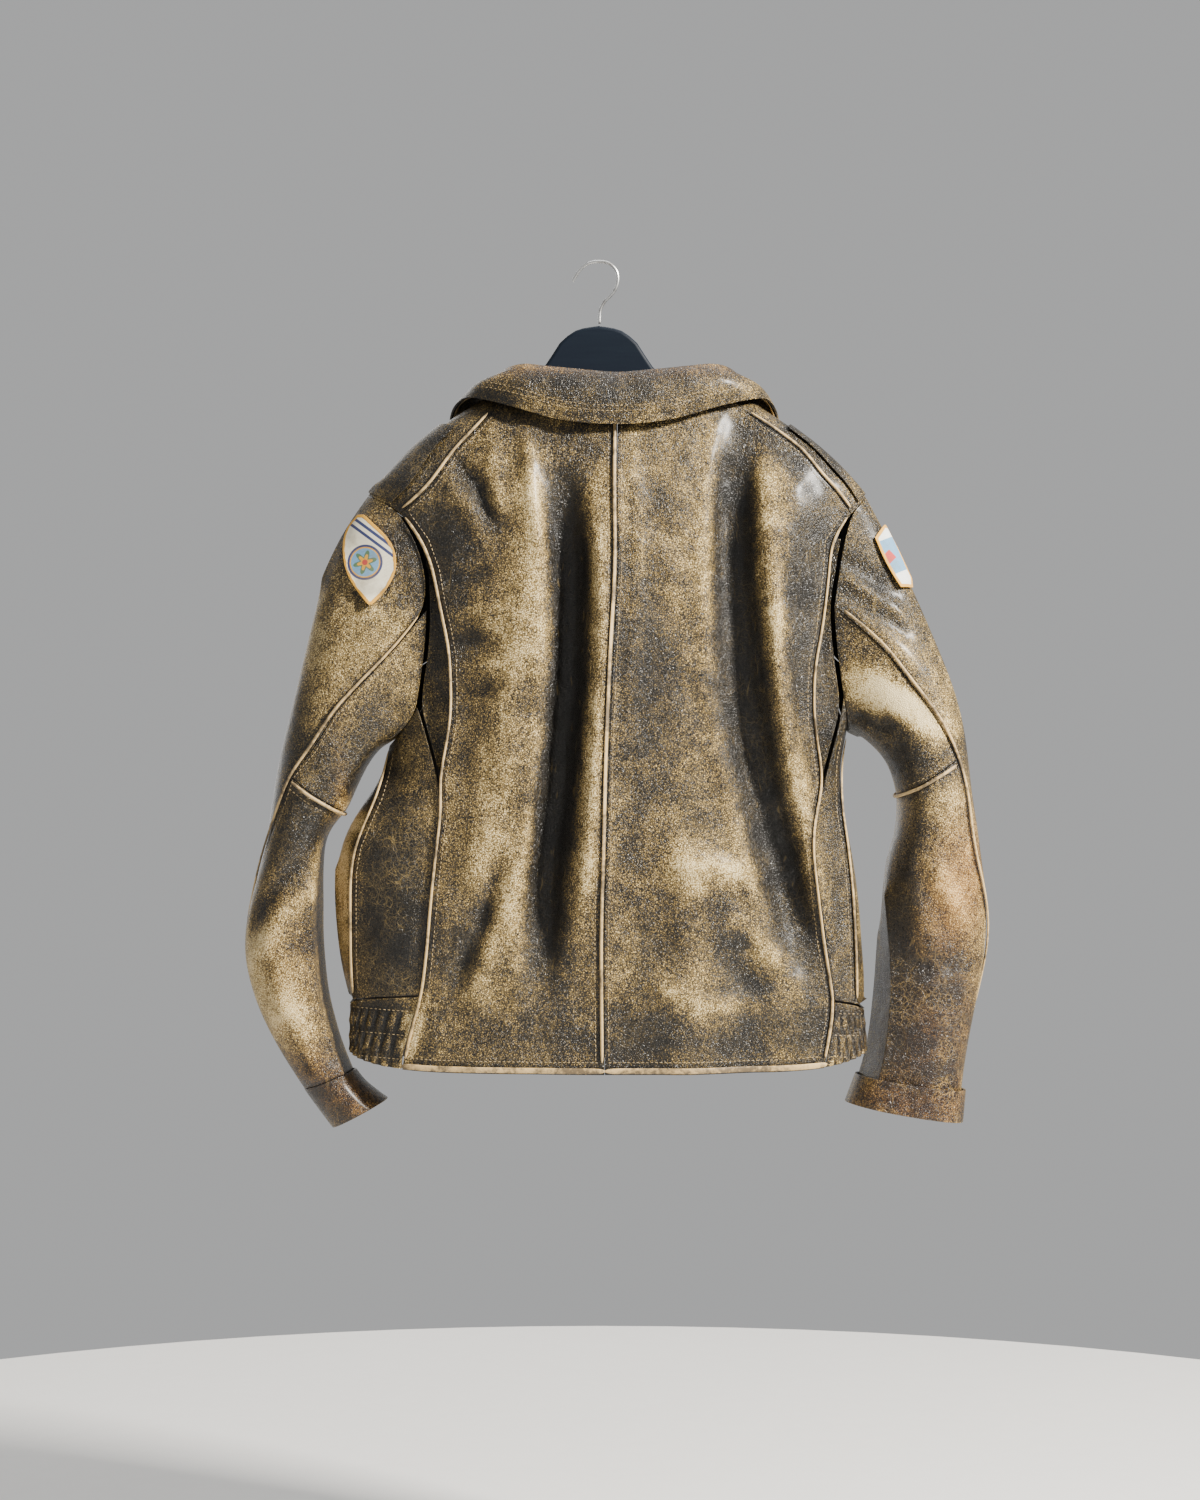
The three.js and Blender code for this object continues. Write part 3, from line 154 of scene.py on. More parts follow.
class Shade:
    """A node's output that takes part in arithmetic, which adds Math nodes."""

    def __init__(self, graph: "Graph", socket: bpy.types.NodeSocket) -> None:
        """Keeps the output and the graph it belongs to."""
        self.graph = graph
        self.socket = socket

    def _maths(self, operation: str, *values: "Shade | float") -> "Shade":
        """One Math node on these values."""
        return self.graph.node("ShaderNodeMath", {"operation": operation}, dict(enumerate(values)))

    def __add__(self, other: "Shade | float") -> "Shade":
        """Sum."""
        return self._maths("ADD", self, other)

    def __radd__(self, other: float) -> "Shade":
        """Sum with a number on the left."""
        return self._maths("ADD", other, self)

    def __sub__(self, other: "Shade | float") -> "Shade":
        """Difference."""
        return self._maths("SUBTRACT", self, other)

    def __rsub__(self, other: float) -> "Shade":
        """Difference with a number on the left."""
        return self._maths("SUBTRACT", other, self)

    def __mul__(self, other: "Shade | float") -> "Shade":
        """Product."""
        return self._maths("MULTIPLY", self, other)

    def __rmul__(self, other: float) -> "Shade":
        """Product with a number on the left."""
        return self._maths("MULTIPLY", other, self)

    def clamped(self) -> "Shade":
        """The value kept between 0 and 1."""
        return self._maths("MINIMUM", self._maths("MAXIMUM", self, 0.0), 1.0)

    def above(self, low: float, high: float) -> "Shade":
        """A soft step that is 0 below low and 1 above high.

        Args:
            low: where the step starts.
            high: where it ends; lower than low for a falling step.

        Returns:
            The step as a value.
        """
        settings = {"interpolation_type": "SMOOTHSTEP"}
        if low < high:
            return self.graph.node("ShaderNodeMapRange", settings, {"Value": self, "From Min": low, "From Max": high})
        return 1.0 - self.above(high, low)

    def sine(self) -> "Shade":
        """The sine of the value in radians."""
        return self._maths("SINE", self)

    def root(self) -> "Shade":
        """The square root."""
        return self._maths("SQRT", self)

    def angle_to(self, across: "Shade") -> "Shade":
        """The angle whose tangent is this value over another."""
        return self._maths("ARCTAN2", self, across)


class Graph:
    """The node tree of one material, with a single method for every node."""

    def __init__(self, name: str) -> None:
        """Starts an empty material.

        Args:
            name: the material's name.
        """
        self.material = bpy.data.materials.new(name)
        self.material.use_nodes = True
        self.tree = self.material.node_tree
        self.tree.nodes.clear()

    def node(self, kind: str, settings: dict | None = None, inputs: dict | None = None,
             output: str | int = 0) -> Shade:
        """Adds a node.

        Args:
            kind: the node's type.
            settings: its own settings, set first; "stops" are a ramp's stops.
            inputs: values or outputs for its sockets, by name or number.
            output: which output to hand back.

        Returns:
            The chosen output.
        """
        made = self.tree.nodes.new(kind)
        for name, value in (settings or {}).items():
            if name == "stops":
                ramp = made.color_ramp.elements
                while len(ramp) < len(value):
                    ramp.new(0.5)
                for element, (place, colour) in zip(ramp, value):
                    element.position = place
                    element.color = (*colour, 1.0)
            else:
                setattr(made, name, value)
        for name, value in (inputs or {}).items():
            if isinstance(value, Shade):
                self.tree.links.new(value.socket, made.inputs[name])
            else:
                made.inputs[name].default_value = value
        return Shade(self, made.outputs[output])

    def place(self) -> Shade:
        """The place on the piece in metres."""
        return self.node("ShaderNodeTexCoord", output="Object")

    def attribute(self, name: str) -> Shade:
        """A value that the mesh carries."""
        return self.node("ShaderNodeAttribute", {"attribute_name": name}, output="Fac")

    def axis(self, place: Shade, name: str) -> Shade:
        """One axis of a place."""
        return self.node("ShaderNodeSeparateXYZ", None, {"Vector": place}, name)

    def weave(self, threads: float) -> Shade:
        """The height of a plain weave with this many threads a metre."""
        place = self.place()
        across, up = ((self.axis(place, name) * (threads * math.tau)).sine() for name in "XZ")
        return across * up * 0.5 + 0.5

    def noise(self, place: Shade, scale: float, detail: float = 3.0, rough: float = 0.55, bend: float = 0.0) -> Shade:
        """Soft noise from 0 to 1 at a scale in waves a metre."""
        return self.node("ShaderNodeTexNoise", None, {
            "Vector": place, "Scale": scale, "Detail": detail, "Roughness": rough, "Distortion": bend})

    def cells(self, place: Shade, scale: float, feature: str = "DISTANCE_TO_EDGE") -> Shade:
        """Irregular cells, as the distance to their edges or their middles."""
        return self.node("ShaderNodeTexVoronoi", {"feature": feature}, {"Vector": place, "Scale": scale}, "Distance")

    def stretched(self, place: Shade, scale: tuple[float, float, float], turn: float = 0.0) -> Shade:
        """The place stretched along its axes and turned about Y."""
        return self.node("ShaderNodeMapping", None, {"Vector": place, "Scale": scale, "Rotation": (0.0, turn, 0.0)})

    def pushed(self, place: Shade, amount: float, scale: float) -> Shade:
        """The place pushed about by noise, so that a pattern on it isn't regular."""
        push = self.node("ShaderNodeTexNoise", None, {"Vector": place, "Scale": scale, "Detail": 2.0}, "Color")
        scaled = self.node("ShaderNodeVectorMath", {"operation": "SCALE"}, {"Vector": push, "Scale": amount})
        return self.node("ShaderNodeVectorMath", {"operation": "ADD"}, {0: place, 1: scaled})

    def ramp(self, value: Shade, stops: tuple) -> Shade:
        """Colours along a value."""
        return self.node("ShaderNodeValToRGB", {"stops": stops}, {"Fac": value})

    def mixed(self, factor: Shade, first: "Shade | Colour", second: "Shade | Colour", how: str = "MIX") -> Shade:
        """One colour over another."""
        colours = [c if isinstance(c, Shade) else (*c, 1.0) for c in (first, second)]
        return self.node("ShaderNodeMix", {"data_type": "RGBA", "blend_type": how},
                         {0: factor, 6: colours[0], 7: colours[1]}, 2)

    def bump(self, height: Shade, strength: float, depth: float) -> Shade:
        """The surface tilted by a height.

        Args:
            height: from 0 to about 1.
            strength: how much of it shows.
            depth: its depth in metres.

        Returns:
            The normal.
        """
        return self.node("ShaderNodeBump", None, {"Height": height, "Strength": strength, "Distance": depth})

    def surface(self, colour: "Shade | Colour", rough: "Shade | float", normal: Shade | None,
                fixed: dict) -> bpy.types.Material:
        """Closes the graph with one surface shader.

        Args:
            colour: the base colour.
            rough: the roughness.
            normal: the tilted normal, if any.
            fixed: constants by socket name.

        Returns:
            The finished material.
        """
        inputs = {"Base Color": colour if isinstance(colour, Shade) else (*colour, 1.0), "Roughness": rough, **fixed}
        if normal is not None:
            inputs["Normal"] = normal
        shader = self.node("ShaderNodeBsdfPrincipled", None, inputs)
        self.node_output(shader)
        return self.material

    def node_output(self, shader: Shade) -> None:
        """Joins a shader to the material's output."""
        made = self.tree.nodes.new("ShaderNodeOutputMaterial")
        self.tree.links.new(shader.socket, made.inputs["Surface"])


# Finishes


@dataclass(frozen=True)
class LeatherFinish:
    """Waxed leather whose dark colour is rubbed off in places, down to tan and cream."""

    name: str
    base: float = -0.15
    stops: tuple = (
        (0.0, (0.0085, 0.0075, 0.0062)),
        (0.26, (0.022, 0.0175, 0.0105)),
        (0.46, (0.082, 0.056, 0.020)),
        (0.66, (0.240, 0.156, 0.045)),
        (0.84, (0.490, 0.338, 0.112)),
        (1.0, (0.760, 0.610, 0.330)),
    )
    warm: Colour = (0.600, 0.265, 0.045)
    warm_dark: Colour = (0.026, 0.0100, 0.0045)
    lining: Colour = (0.020, 0.017, 0.016)
    lining_rib: Colour = (0.035, 0.030, 0.027)
    coat: float = 0.10

    def material(self) -> bpy.types.Material:
        """Builds the finish from the values that each piece carries: its rubbing with the painted shade in it, its
        warmth, its darkening, its crackle and whether it is inside.
        """
        graph = Graph(self.name)
        place = graph.place()
        loose = graph.pushed(place, 0.014, 38.0)
        blotch = graph.noise(place, 9.0, 4.0, 0.62, 0.5) - 0.5
        mottle = graph.noise(loose, 48.0, 6.0, 0.72, 0.4) - 0.5
        speck = graph.noise(place, 620.0, 3.0, 0.7) - 0.5
        grain = graph.cells(graph.pushed(place, 0.0012, 260.0), 560.0)
        crackle = graph.attribute("crackle")
        crack = graph.cells(graph.pushed(loose, 0.010, 90.0), 95.0).above(0.034, 0.004)
        hair = graph.cells(graph.pushed(loose, 0.005, 190.0), 270.0).above(0.070, 0.010)
        scratch = graph.noise(graph.stretched(loose, (300.0, 60.0, 34.0), 0.5), 1.0, 2.0, 0.5, 0.6).above(0.66, 0.74)
        # rubbing lightens the leather; the painted shade that rides with it darkens the fold troughs, the grooves
        # beside the edgings and the place under the collar
        worn = 0.50 + self.base + graph.attribute("rub") - graph.attribute("grime")
        level = (worn + blotch * 0.95 + mottle * 1.10 + speck * 2.10
                 + (grain.above(0.0, 0.24) - 0.75) * 0.42).clamped()
        colour = graph.ramp(level, self.stops)
        broken = graph.noise(place, 24.0, 4.0, 0.6).above(0.40, 0.60)
        cracked = (crackle * broken * (crack * 0.75 + hair * 0.55) + scratch * 0.20).clamped()
        colour = graph.mixed(cracked * 0.8, colour, self.stops[4][1])
        warmed = graph.mixed((level + cracked * 0.5).clamped(), self.warm_dark, self.warm)
        colour = graph.mixed((graph.attribute("warmth") * (0.75 + mottle * 1.2)).clamped(), colour, warmed)
        inside = graph.attribute("inside")
        rib = graph.noise(graph.stretched(place, (2600.0, 2600.0, 2600.0), 0.6), 1.0, 0.0)
        colour = graph.mixed(inside, colour, graph.mixed(rib, self.lining, self.lining_rib))
        rough = (0.300 + level * 0.22 + speck * 0.30 + cracked * 0.12 + inside * 0.25).clamped()
        crumple = graph.noise(graph.stretched(loose, (1.0, 1.0, 0.7)), 34.0, 3.0, 0.55, 0.8)
        creased = graph.noise(graph.stretched(loose, (1.0, 1.0, 0.5)), 120.0, 4.0, 0.62, 0.9)
        pebbles = grain.above(0.0, 0.30)
        height = crumple * 1.35 + creased * 0.42 + pebbles * 0.17 - crack * crackle * 0.16 - hair * crackle * 0.08
        return graph.surface(colour, rough, graph.bump(height * (1.0 - inside * 0.9), 0.90, 0.0022),
                             {"Coat Weight": self.coat, "Coat Roughness": 0.22, "Specular IOR Level": 0.36})


@dataclass(frozen=True)
class EdgeFinish:
    """A narrow leather edging, rubbed to tan with its dark colour left in specks."""

    name: str
    worn: Colour = (0.50, 0.320, 0.125)
    kept: Colour = (0.050, 0.036, 0.022)
    bare: Colour = (0.64, 0.470, 0.230)
    left: float = 0.38

    def material(self) -> bpy.types.Material:
        """Builds the edging's finish."""
        graph = Graph(self.name)
        place = graph.place()
        patchy = graph.noise(place, 26.0, 5.0, 0.62)
        fine = graph.noise(place, 210.0, 4.0, 0.6)
        # darker where a piece carries darkening, which includes painted shade along a sleeve crease
        darker = graph.attribute("grime") * 0.5 - 0.6 + self.left * 0.25
        kept = (patchy * 0.7 + fine * 0.5 + darker).above(0.02, 0.22)
        colour = graph.mixed(kept * 0.85, graph.mixed(fine, self.worn, self.bare), self.kept)
        height = graph.cells(place, 520.0, "F1") * 0.4 + fine * 0.6
        return graph.surface(colour, 0.5 + fine * 0.2, graph.bump(height, 0.5, 0.0006), {"Specular IOR Level": 0.45})


@dataclass(frozen=True)
class ThreadFinish:
    """Waxed sewing thread, twisted."""

    name: str
    colour: Colour
    dirt: Colour = (0.06, 0.045, 0.03)

    def material(self) -> bpy.types.Material:
        """Builds the thread's finish."""
        graph = Graph(self.name)
        place = graph.place()
        dirt = graph.noise(place, 90.0, 3.0).above(0.45, 0.75)
        twist = graph.noise(graph.stretched(place, (900.0, 900.0, 2600.0), 0.5), 1.0, 1.0)
        return graph.surface(graph.mixed(dirt, self.colour, self.dirt), 0.62, graph.bump(twist, 0.4, 0.0003), {})


@dataclass(frozen=True)
class ClothFinish:
    """Tightly woven cotton."""

    name: str
    first: Colour
    second: Colour
    threads: float = 1100.0

    def material(self) -> bpy.types.Material:
        """Builds the weave from two sets of ribs."""
        graph = Graph(self.name)
        place = graph.place()
        weave = graph.weave(self.threads)
        dust = graph.noise(place, 60.0, 4.0)
        colour = graph.mixed(dust.above(0.35, 0.75), self.first, self.second)
        return graph.surface(colour, 0.82 + dust * 0.1, graph.bump(weave, 0.5, 0.0003), {"Sheen Weight": 0.15})


class Motif(Enum):
    """The plain ornament sewn on a patch."""

    ROSETTE = "rosette"
    LOZENGE = "lozenge"


@dataclass(frozen=True)
class PatchFinish:
    """An embroidered patch: a woven ground, a plain ornament in coloured thread and a thick sewn rim."""

    name: str
    motif: Motif
    middle: Place
    ground: Colour = (0.70, 0.65, 0.50)
    rim: Colour = (0.60, 0.295, 0.010)
    navy: Colour = (0.016, 0.026, 0.105)
    pale_blue: Colour = (0.12, 0.27, 0.42)
    red: Colour = (0.42, 0.018, 0.014)
    green: Colour = (0.060, 0.130, 0.060)
    dirt: Colour = (0.16, 0.115, 0.060)
    rim_width: float = 3.4
    soft: float = 0.0005

    def within(self, far: Shade, reach: float) -> Shade:
        """1 where a distance in metres is under a reach in millimetres."""
        return far.above(reach * MM, reach * MM - self.soft)

    def rosette(self, graph: Graph, across: Shade, up: Shade) -> Shade:
        """A ringed rosette with slanting bars above it.

        Args:
            graph: the material's nodes.
            across: places across from the middle, in metres.
            up: places up from the middle.

        Returns:
            The colour.
        """
        far = (across * across + up * up).root()
        petals = (up.angle_to(across) * 6.0).sine()
        slant = across * 0.6 + up * 0.8
        bars = (slant * (math.tau / 0.0065)).sine().above(0.0, 0.3) * slant.above(0.0195, 0.0200)
        colour = graph.mixed(bars, self.ground, self.navy)
        colour = graph.mixed(self.within(far, 17.5), colour, self.navy)
        colour = graph.mixed(self.within(far, 15.2), colour, self.rim)
        colour = graph.mixed(self.within(far, 14.0), colour, self.pale_blue)
        colour = graph.mixed(self.within(far - petals * 0.0032, 9.0), colour, self.green)
        colour = graph.mixed(self.within(far - petals * 0.0022, 6.0), colour, self.rim)
        return graph.mixed(self.within(far, 3.0), colour, self.red)

    def lozenge(self, graph: Graph, across: Shade, up: Shade) -> Shade:
        """A slanting pale band with a small lozenge on it.

        Args:
            graph: the material's nodes.
            across: places across from the middle, in metres.
            up: places up from the middle.

        Returns:
            The colour.
        """
        slant = up * 0.92 - across * 0.38
        colour = graph.mixed(self.within((slant * slant).root() - 0.0150, 2.6), self.ground, self.pale_blue)
        reach = (across * across).root() + (up * up).root()
        return graph.mixed(self.within(reach, 7.5), colour, self.red)

    def material(self) -> bpy.types.Material:
        """Builds the patch's finish from its rim distance and its place."""
        graph = Graph(self.name)
        place = graph.place()
        across = graph.axis(place, "X") - self.middle[0] * MM
        up = graph.axis(place, "Z") - self.middle[1] * MM
        motif = self.rosette if self.motif is Motif.ROSETTE else self.lozenge
        rim = graph.attribute("rim").above(self.rim_width, self.rim_width - 0.4)
        dirt = graph.noise(place, 46.0, 5.0, 0.65).above(0.46, 0.74)
        colour = graph.mixed(rim, motif(graph, across, up), self.rim)
        colour = graph.mixed(dirt * 0.45, colour, self.dirt)
        thread = ((across + up * 0.35) * (math.tau / 0.0011)).sine() * 0.5 + 0.5
        return graph.surface(colour, 0.68 + dirt * 0.15, graph.bump(thread * 0.5 + rim * 0.9, 0.6, 0.0006),
                             {"Sheen Weight": 0.2})


@dataclass(frozen=True)
class MetalFinish:
    """Bare metal with dull patches."""

    name: str
    bright: Colour
    dull: Colour
    rough: float = 0.3

    def material(self) -> bpy.types.Material:
        """Builds the metal's finish."""
        graph = Graph(self.name)
        place = graph.place()
        patchy = graph.noise(place, 120.0, 5.0, 0.6)
        drawn = graph.noise(graph.stretched(place, (260.0, 260.0, 1400.0)), 1.0, 2.0)
        colour = graph.mixed(patchy.above(0.42, 0.66), self.bright, self.dull)
        return graph.surface(colour, self.rough + patchy * 0.28, graph.bump(drawn, 0.18, 0.0002),
                             {"Metallic": 1.0})


@dataclass(frozen=True)
class WoodFinish:
    """Dark painted wood with scuffs and a faint grain under the paint."""

    name: str = "painted wood"
    paint: Colour = (0.0030, 0.0055, 0.0110)
    streak: Colour = (0.006, 0.010, 0.017)
    scuff: Colour = (0.022, 0.030, 0.042)

    def material(self) -> bpy.types.Material:
        """Builds the painted wood."""
        graph = Graph(self.name)
        place = graph.place()
        grain = graph.noise(graph.stretched(place, (14.0, 90.0, 260.0)), 1.0, 5.0, 0.6, 0.5)
        scuffed = graph.noise(graph.stretched(place, (70.0, 70.0, 16.0), 0.5), 1.0, 6.0, 0.7).above(0.60, 0.78)
        dust = graph.noise(place, 340.0, 3.0)
        colour = graph.mixed(scuffed * 0.55, graph.mixed(grain, self.paint, self.streak), self.scuff)
        rough = 0.46 + scuffed * 0.25 + dust * 0.08
        normal = graph.bump(grain * 0.7 + dust * 0.3, 0.25, 0.0004)
        return graph.surface(colour, rough, normal, {"Specular IOR Level": 0.14})


@dataclass(frozen=True)
class FloorFinish:
    """A plain pale studio floor."""

    name: str = "studio floor"
    colour: Colour = (0.72, 0.71, 0.69)

    def material(self) -> bpy.types.Material:
        """Builds the floor's finish."""
        graph = Graph(self.name)
        fine = graph.noise(graph.place(), 40.0, 3.0)
        return graph.surface(graph.mixed(fine, self.colour, (0.76, 0.75, 0.73)), 0.9, None, {})


# Folds, wear and painted shade, placed as seen from behind

NEAR = 2.6                    # a fold or a mark has faded out at this many times its width
TAPER = 0.16                  # the share of a fold's length over which each end rises
GOLDEN_ANGLE = 2.39996        # in radians; it turns each ripple away from the others
GOLDEN_PART = 0.618           # it spreads the ripples' tilts
SIDEWAYS = 0.35               # the share of a mark that is left where the leather faces sideways
FADE = 1.5                    # how fast a mark fades as the leather turns away
RIDGE_RUB = 1.4               # how strongly what stands out is rubbed
SOFT_MERGE = 0.00002          # a soft solid's points nearer than this are one, in metres
HARD_MERGE = 0.00001          # the same for a hard solid


@dataclass(frozen=True)
class Fold:
    """A soft ridge, or a trough where its height is negative, along a run of places across and up."""

    run: tuple[Place, ...]
    width: float
    height: float
    side: Side = Side.BACK
    sharp: float = 2.0

    def at(self, across: np.ndarray, up: np.ndarray) -> np.ndarray:
        """The fold's height at these places.

        Args:
            across: places across, in millimetres.
            up: places up.

        Returns:
            The height at each place, in millimetres.
        """
        low, high = np.min(self.run, axis=0) - NEAR * self.width, np.max(self.run, axis=0) + NEAR * self.width
        near = (across > low[0]) & (across < high[0]) & (up > low[1]) & (up < high[1])
        x, z = across[near], up[near]
        nearest, gone = np.full(x.shape, np.inf), np.zeros(x.shape)
        lengths = [math.dist(start, end) for start, end in zip(self.run, self.run[1:])]
        passed = 0.0
        for (x0, z0), (x1, z1), length in zip(self.run, self.run[1:], lengths):
            dx, dz = x1 - x0, z1 - z0
            along = np.clip(((x - x0) * dx + (z - z0) * dz) / (length * length), 0.0, 1.0)
            far = np.hypot(x - x0 - along * dx, z - z0 - along * dz)
            gone = np.where(far < nearest, (passed + along * length) / sum(lengths), gone)
            nearest = np.minimum(nearest, far)
            passed += length
        ends = np.clip(np.minimum(gone, 1.0 - gone) / TAPER, 0.0, 1.0)
        height = np.zeros(across.shape)
        height[near] = self.height * (0.25 + 0.75 * ends) * np.exp(-((nearest / self.width) ** self.sharp))
        return height


@dataclass(frozen=True)
class Mark:
    """A soft patch of wear or of painted shade: its middle, its half-sizes, its turn in degrees and how strong it is.
    """

    x: float
    z: float
    wide: float
    tall: float
    strength: float
    turn: float = 0.0
    side: Side = Side.BACK
    hard: float = 2.0

    def at(self, across: np.ndarray, up: np.ndarray) -> np.ndarray:
        """The mark's strength at these places.

        Args:
            across: places across, in millimetres.
            up: places up.

        Returns:
            The strength at each place.
        """
        turn = math.radians(self.turn)
        dx, dz = across - self.x, up - self.z
        reach = NEAR * max(self.wide, self.tall)
        near = (np.abs(dx) < reach) & (np.abs(dz) < reach)
        along = (dx[near] * math.cos(turn) + dz[near] * math.sin(turn)) / self.wide
        over = (-dx[near] * math.sin(turn) + dz[near] * math.cos(turn)) / self.tall
        strength = np.zeros(across.shape)
        strength[near] = self.strength * np.exp(-(np.hypot(along, over) ** self.hard))
        return strength


@dataclass
class Drape:
    """All of the jacket's folds, as one field that every piece is pushed by."""

    folds: tuple[Fold, ...]
    middle: float = 4.0
    turn_over: float = 26.0
    ripple: float = 0.9
    waves: int = 26
    shortest: float = 30.0
    longer: float = 4.2
    bend: float = 0.9

    def facing(self, places: np.ndarray) -> np.ndarray:
        """How far each place is on the back (-1) or the front (1)."""
        away = (places[:, 1] - self.middle) / self.turn_over
        return np.clip(away, -1.0, 1.0)

    def height(self, places: np.ndarray) -> np.ndarray:
        """How far the folds stand out at these places, in millimetres."""
        facing = self.facing(places)
        total = np.zeros(len(places))
        for fold in self.folds:
            share = np.clip(facing * fold.side.value, 0.0, 1.0)
            total += share * fold.at(places[:, 0], places[:, 2])
        return total

    def ripples(self, places: np.ndarray) -> np.ndarray:
        """Low uneven waves all over the leather, in millimetres."""
        total = np.zeros(len(places))
        for i in range(self.waves):
            turn = i * GOLDEN_ANGLE
            tilt = math.asin(((i * GOLDEN_PART) % 1.0) * 1.6 - 0.8)
            way = np.array([math.cos(turn) * math.cos(tilt), math.sin(turn) * math.cos(tilt), math.sin(tilt)])
            length = self.shortest + self.longer * ((i * 7) % 13)
            bend = self.bend * np.sin(places @ np.roll(way, 1) / (length * 0.31))
            total += np.sin(places @ way * math.tau / length + i * 1.7 + bend)
        return total * self.ripple / math.sqrt(self.waves)

    def pushed(self, places: np.ndarray, amount: float = 1.0) -> np.ndarray:
        """The places with the folds and ripples added along the way they face.

        Args:
            places: points in millimetres.
            amount: the share of the ripples.

        Returns:
            The moved points.
        """
        facing = self.facing(places)
        moved = places.copy()
        moved[:, 1] += facing * (self.height(places) + amount * self.ripples(places))
        return moved


@dataclass
class Wear:
    """Where the leather is rubbed, warmed, darkened and cracked, and where shade is painted on it."""

    rubs_and_shade: tuple[Mark, ...]
    warmths: tuple[Mark, ...]
    darkenings: tuple[Mark, ...]
    cracks: tuple[Mark, ...]
    groove: float = 2.4
    halo: float = 13.0
    groove_shade: float = 0.42
    halo_rub: float = 0.12
    fold_depth: float = 16.0
    fold_rub_and_shade: tuple[float, float] = (-0.70, 0.22)
    crackle: float = 0.22
    step: float = 3.0
    edges: KDTree = field(default_factory=lambda: KDTree(1))

    def find_edges(self, nodes: dict[str, bpy.types.Object]) -> None:
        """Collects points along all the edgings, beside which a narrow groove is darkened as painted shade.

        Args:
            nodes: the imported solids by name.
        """
        points = []
        for name, node in nodes.items():
            if name.startswith(("piping", "hem_band", "collar_binding")):
                for edge in node.data.edges:
                    start, end = (node.data.vertices[i].co / MM for i in edge.vertices)
                    count = max(int((end - start).length / self.step), 1)
                    points += [start.lerp(end, i / count) for i in range(count + 1)]
        self.edges = tree_of(points)

    @staticmethod
    def _sum(marks: tuple[Mark, ...], places: np.ndarray, facing: np.ndarray) -> np.ndarray:
        """The sum of these marks at the places."""
        total = np.zeros(len(places))
        for mark in marks:
            share = np.clip(SIDEWAYS + facing * mark.side.value * FADE, 0.0, 1.0)
            total += share * mark.at(places[:, 0], places[:, 2])
        return total

    def values(self, places: np.ndarray, drape: Drape) -> dict[str, np.ndarray]:
        """What each place of a piece carries for its finish.

        Args:
            places: points in millimetres, before they are pushed.
            drape: the folds, whose ridges are rubbed lighter and whose troughs are darkened as painted shade.

        Returns:
            The values by name.
        """
        facing = drape.facing(places)
        find = self.edges.find
        beside = np.array([find(p)[2] for p in places.tolist()])
        rub = self.halo_rub * np.exp(-((beside / self.halo) ** 2))
        # painted shade: a narrow dark groove beside every edging
        rub -= self.groove_shade * np.exp(-((beside / self.groove) ** 2))
        # ridges rubbed lighter as wear, and troughs darkened as painted shade
        rub += np.clip(drape.height(places) / self.fold_depth, *self.fold_rub_and_shade)
        rub += self._sum(self.rubs_and_shade, places, facing)
        return {
            "rub": rub,
            "warmth": np.clip(self._sum(self.warmths, places, facing), 0.0, 1.0),
            "grime": np.clip(self._sum(self.darkenings, places, facing), 0.0, 1.0),
            "crackle": np.clip(self.crackle + self._sum(self.cracks, places, facing), 0.0, 1.0),
        }


# Making pieces


@dataclass(frozen=True)
class Cut:
    """A piece's cut size in metres before it was sewn: width, length and area."""

    width: float
    length: float
    area: float


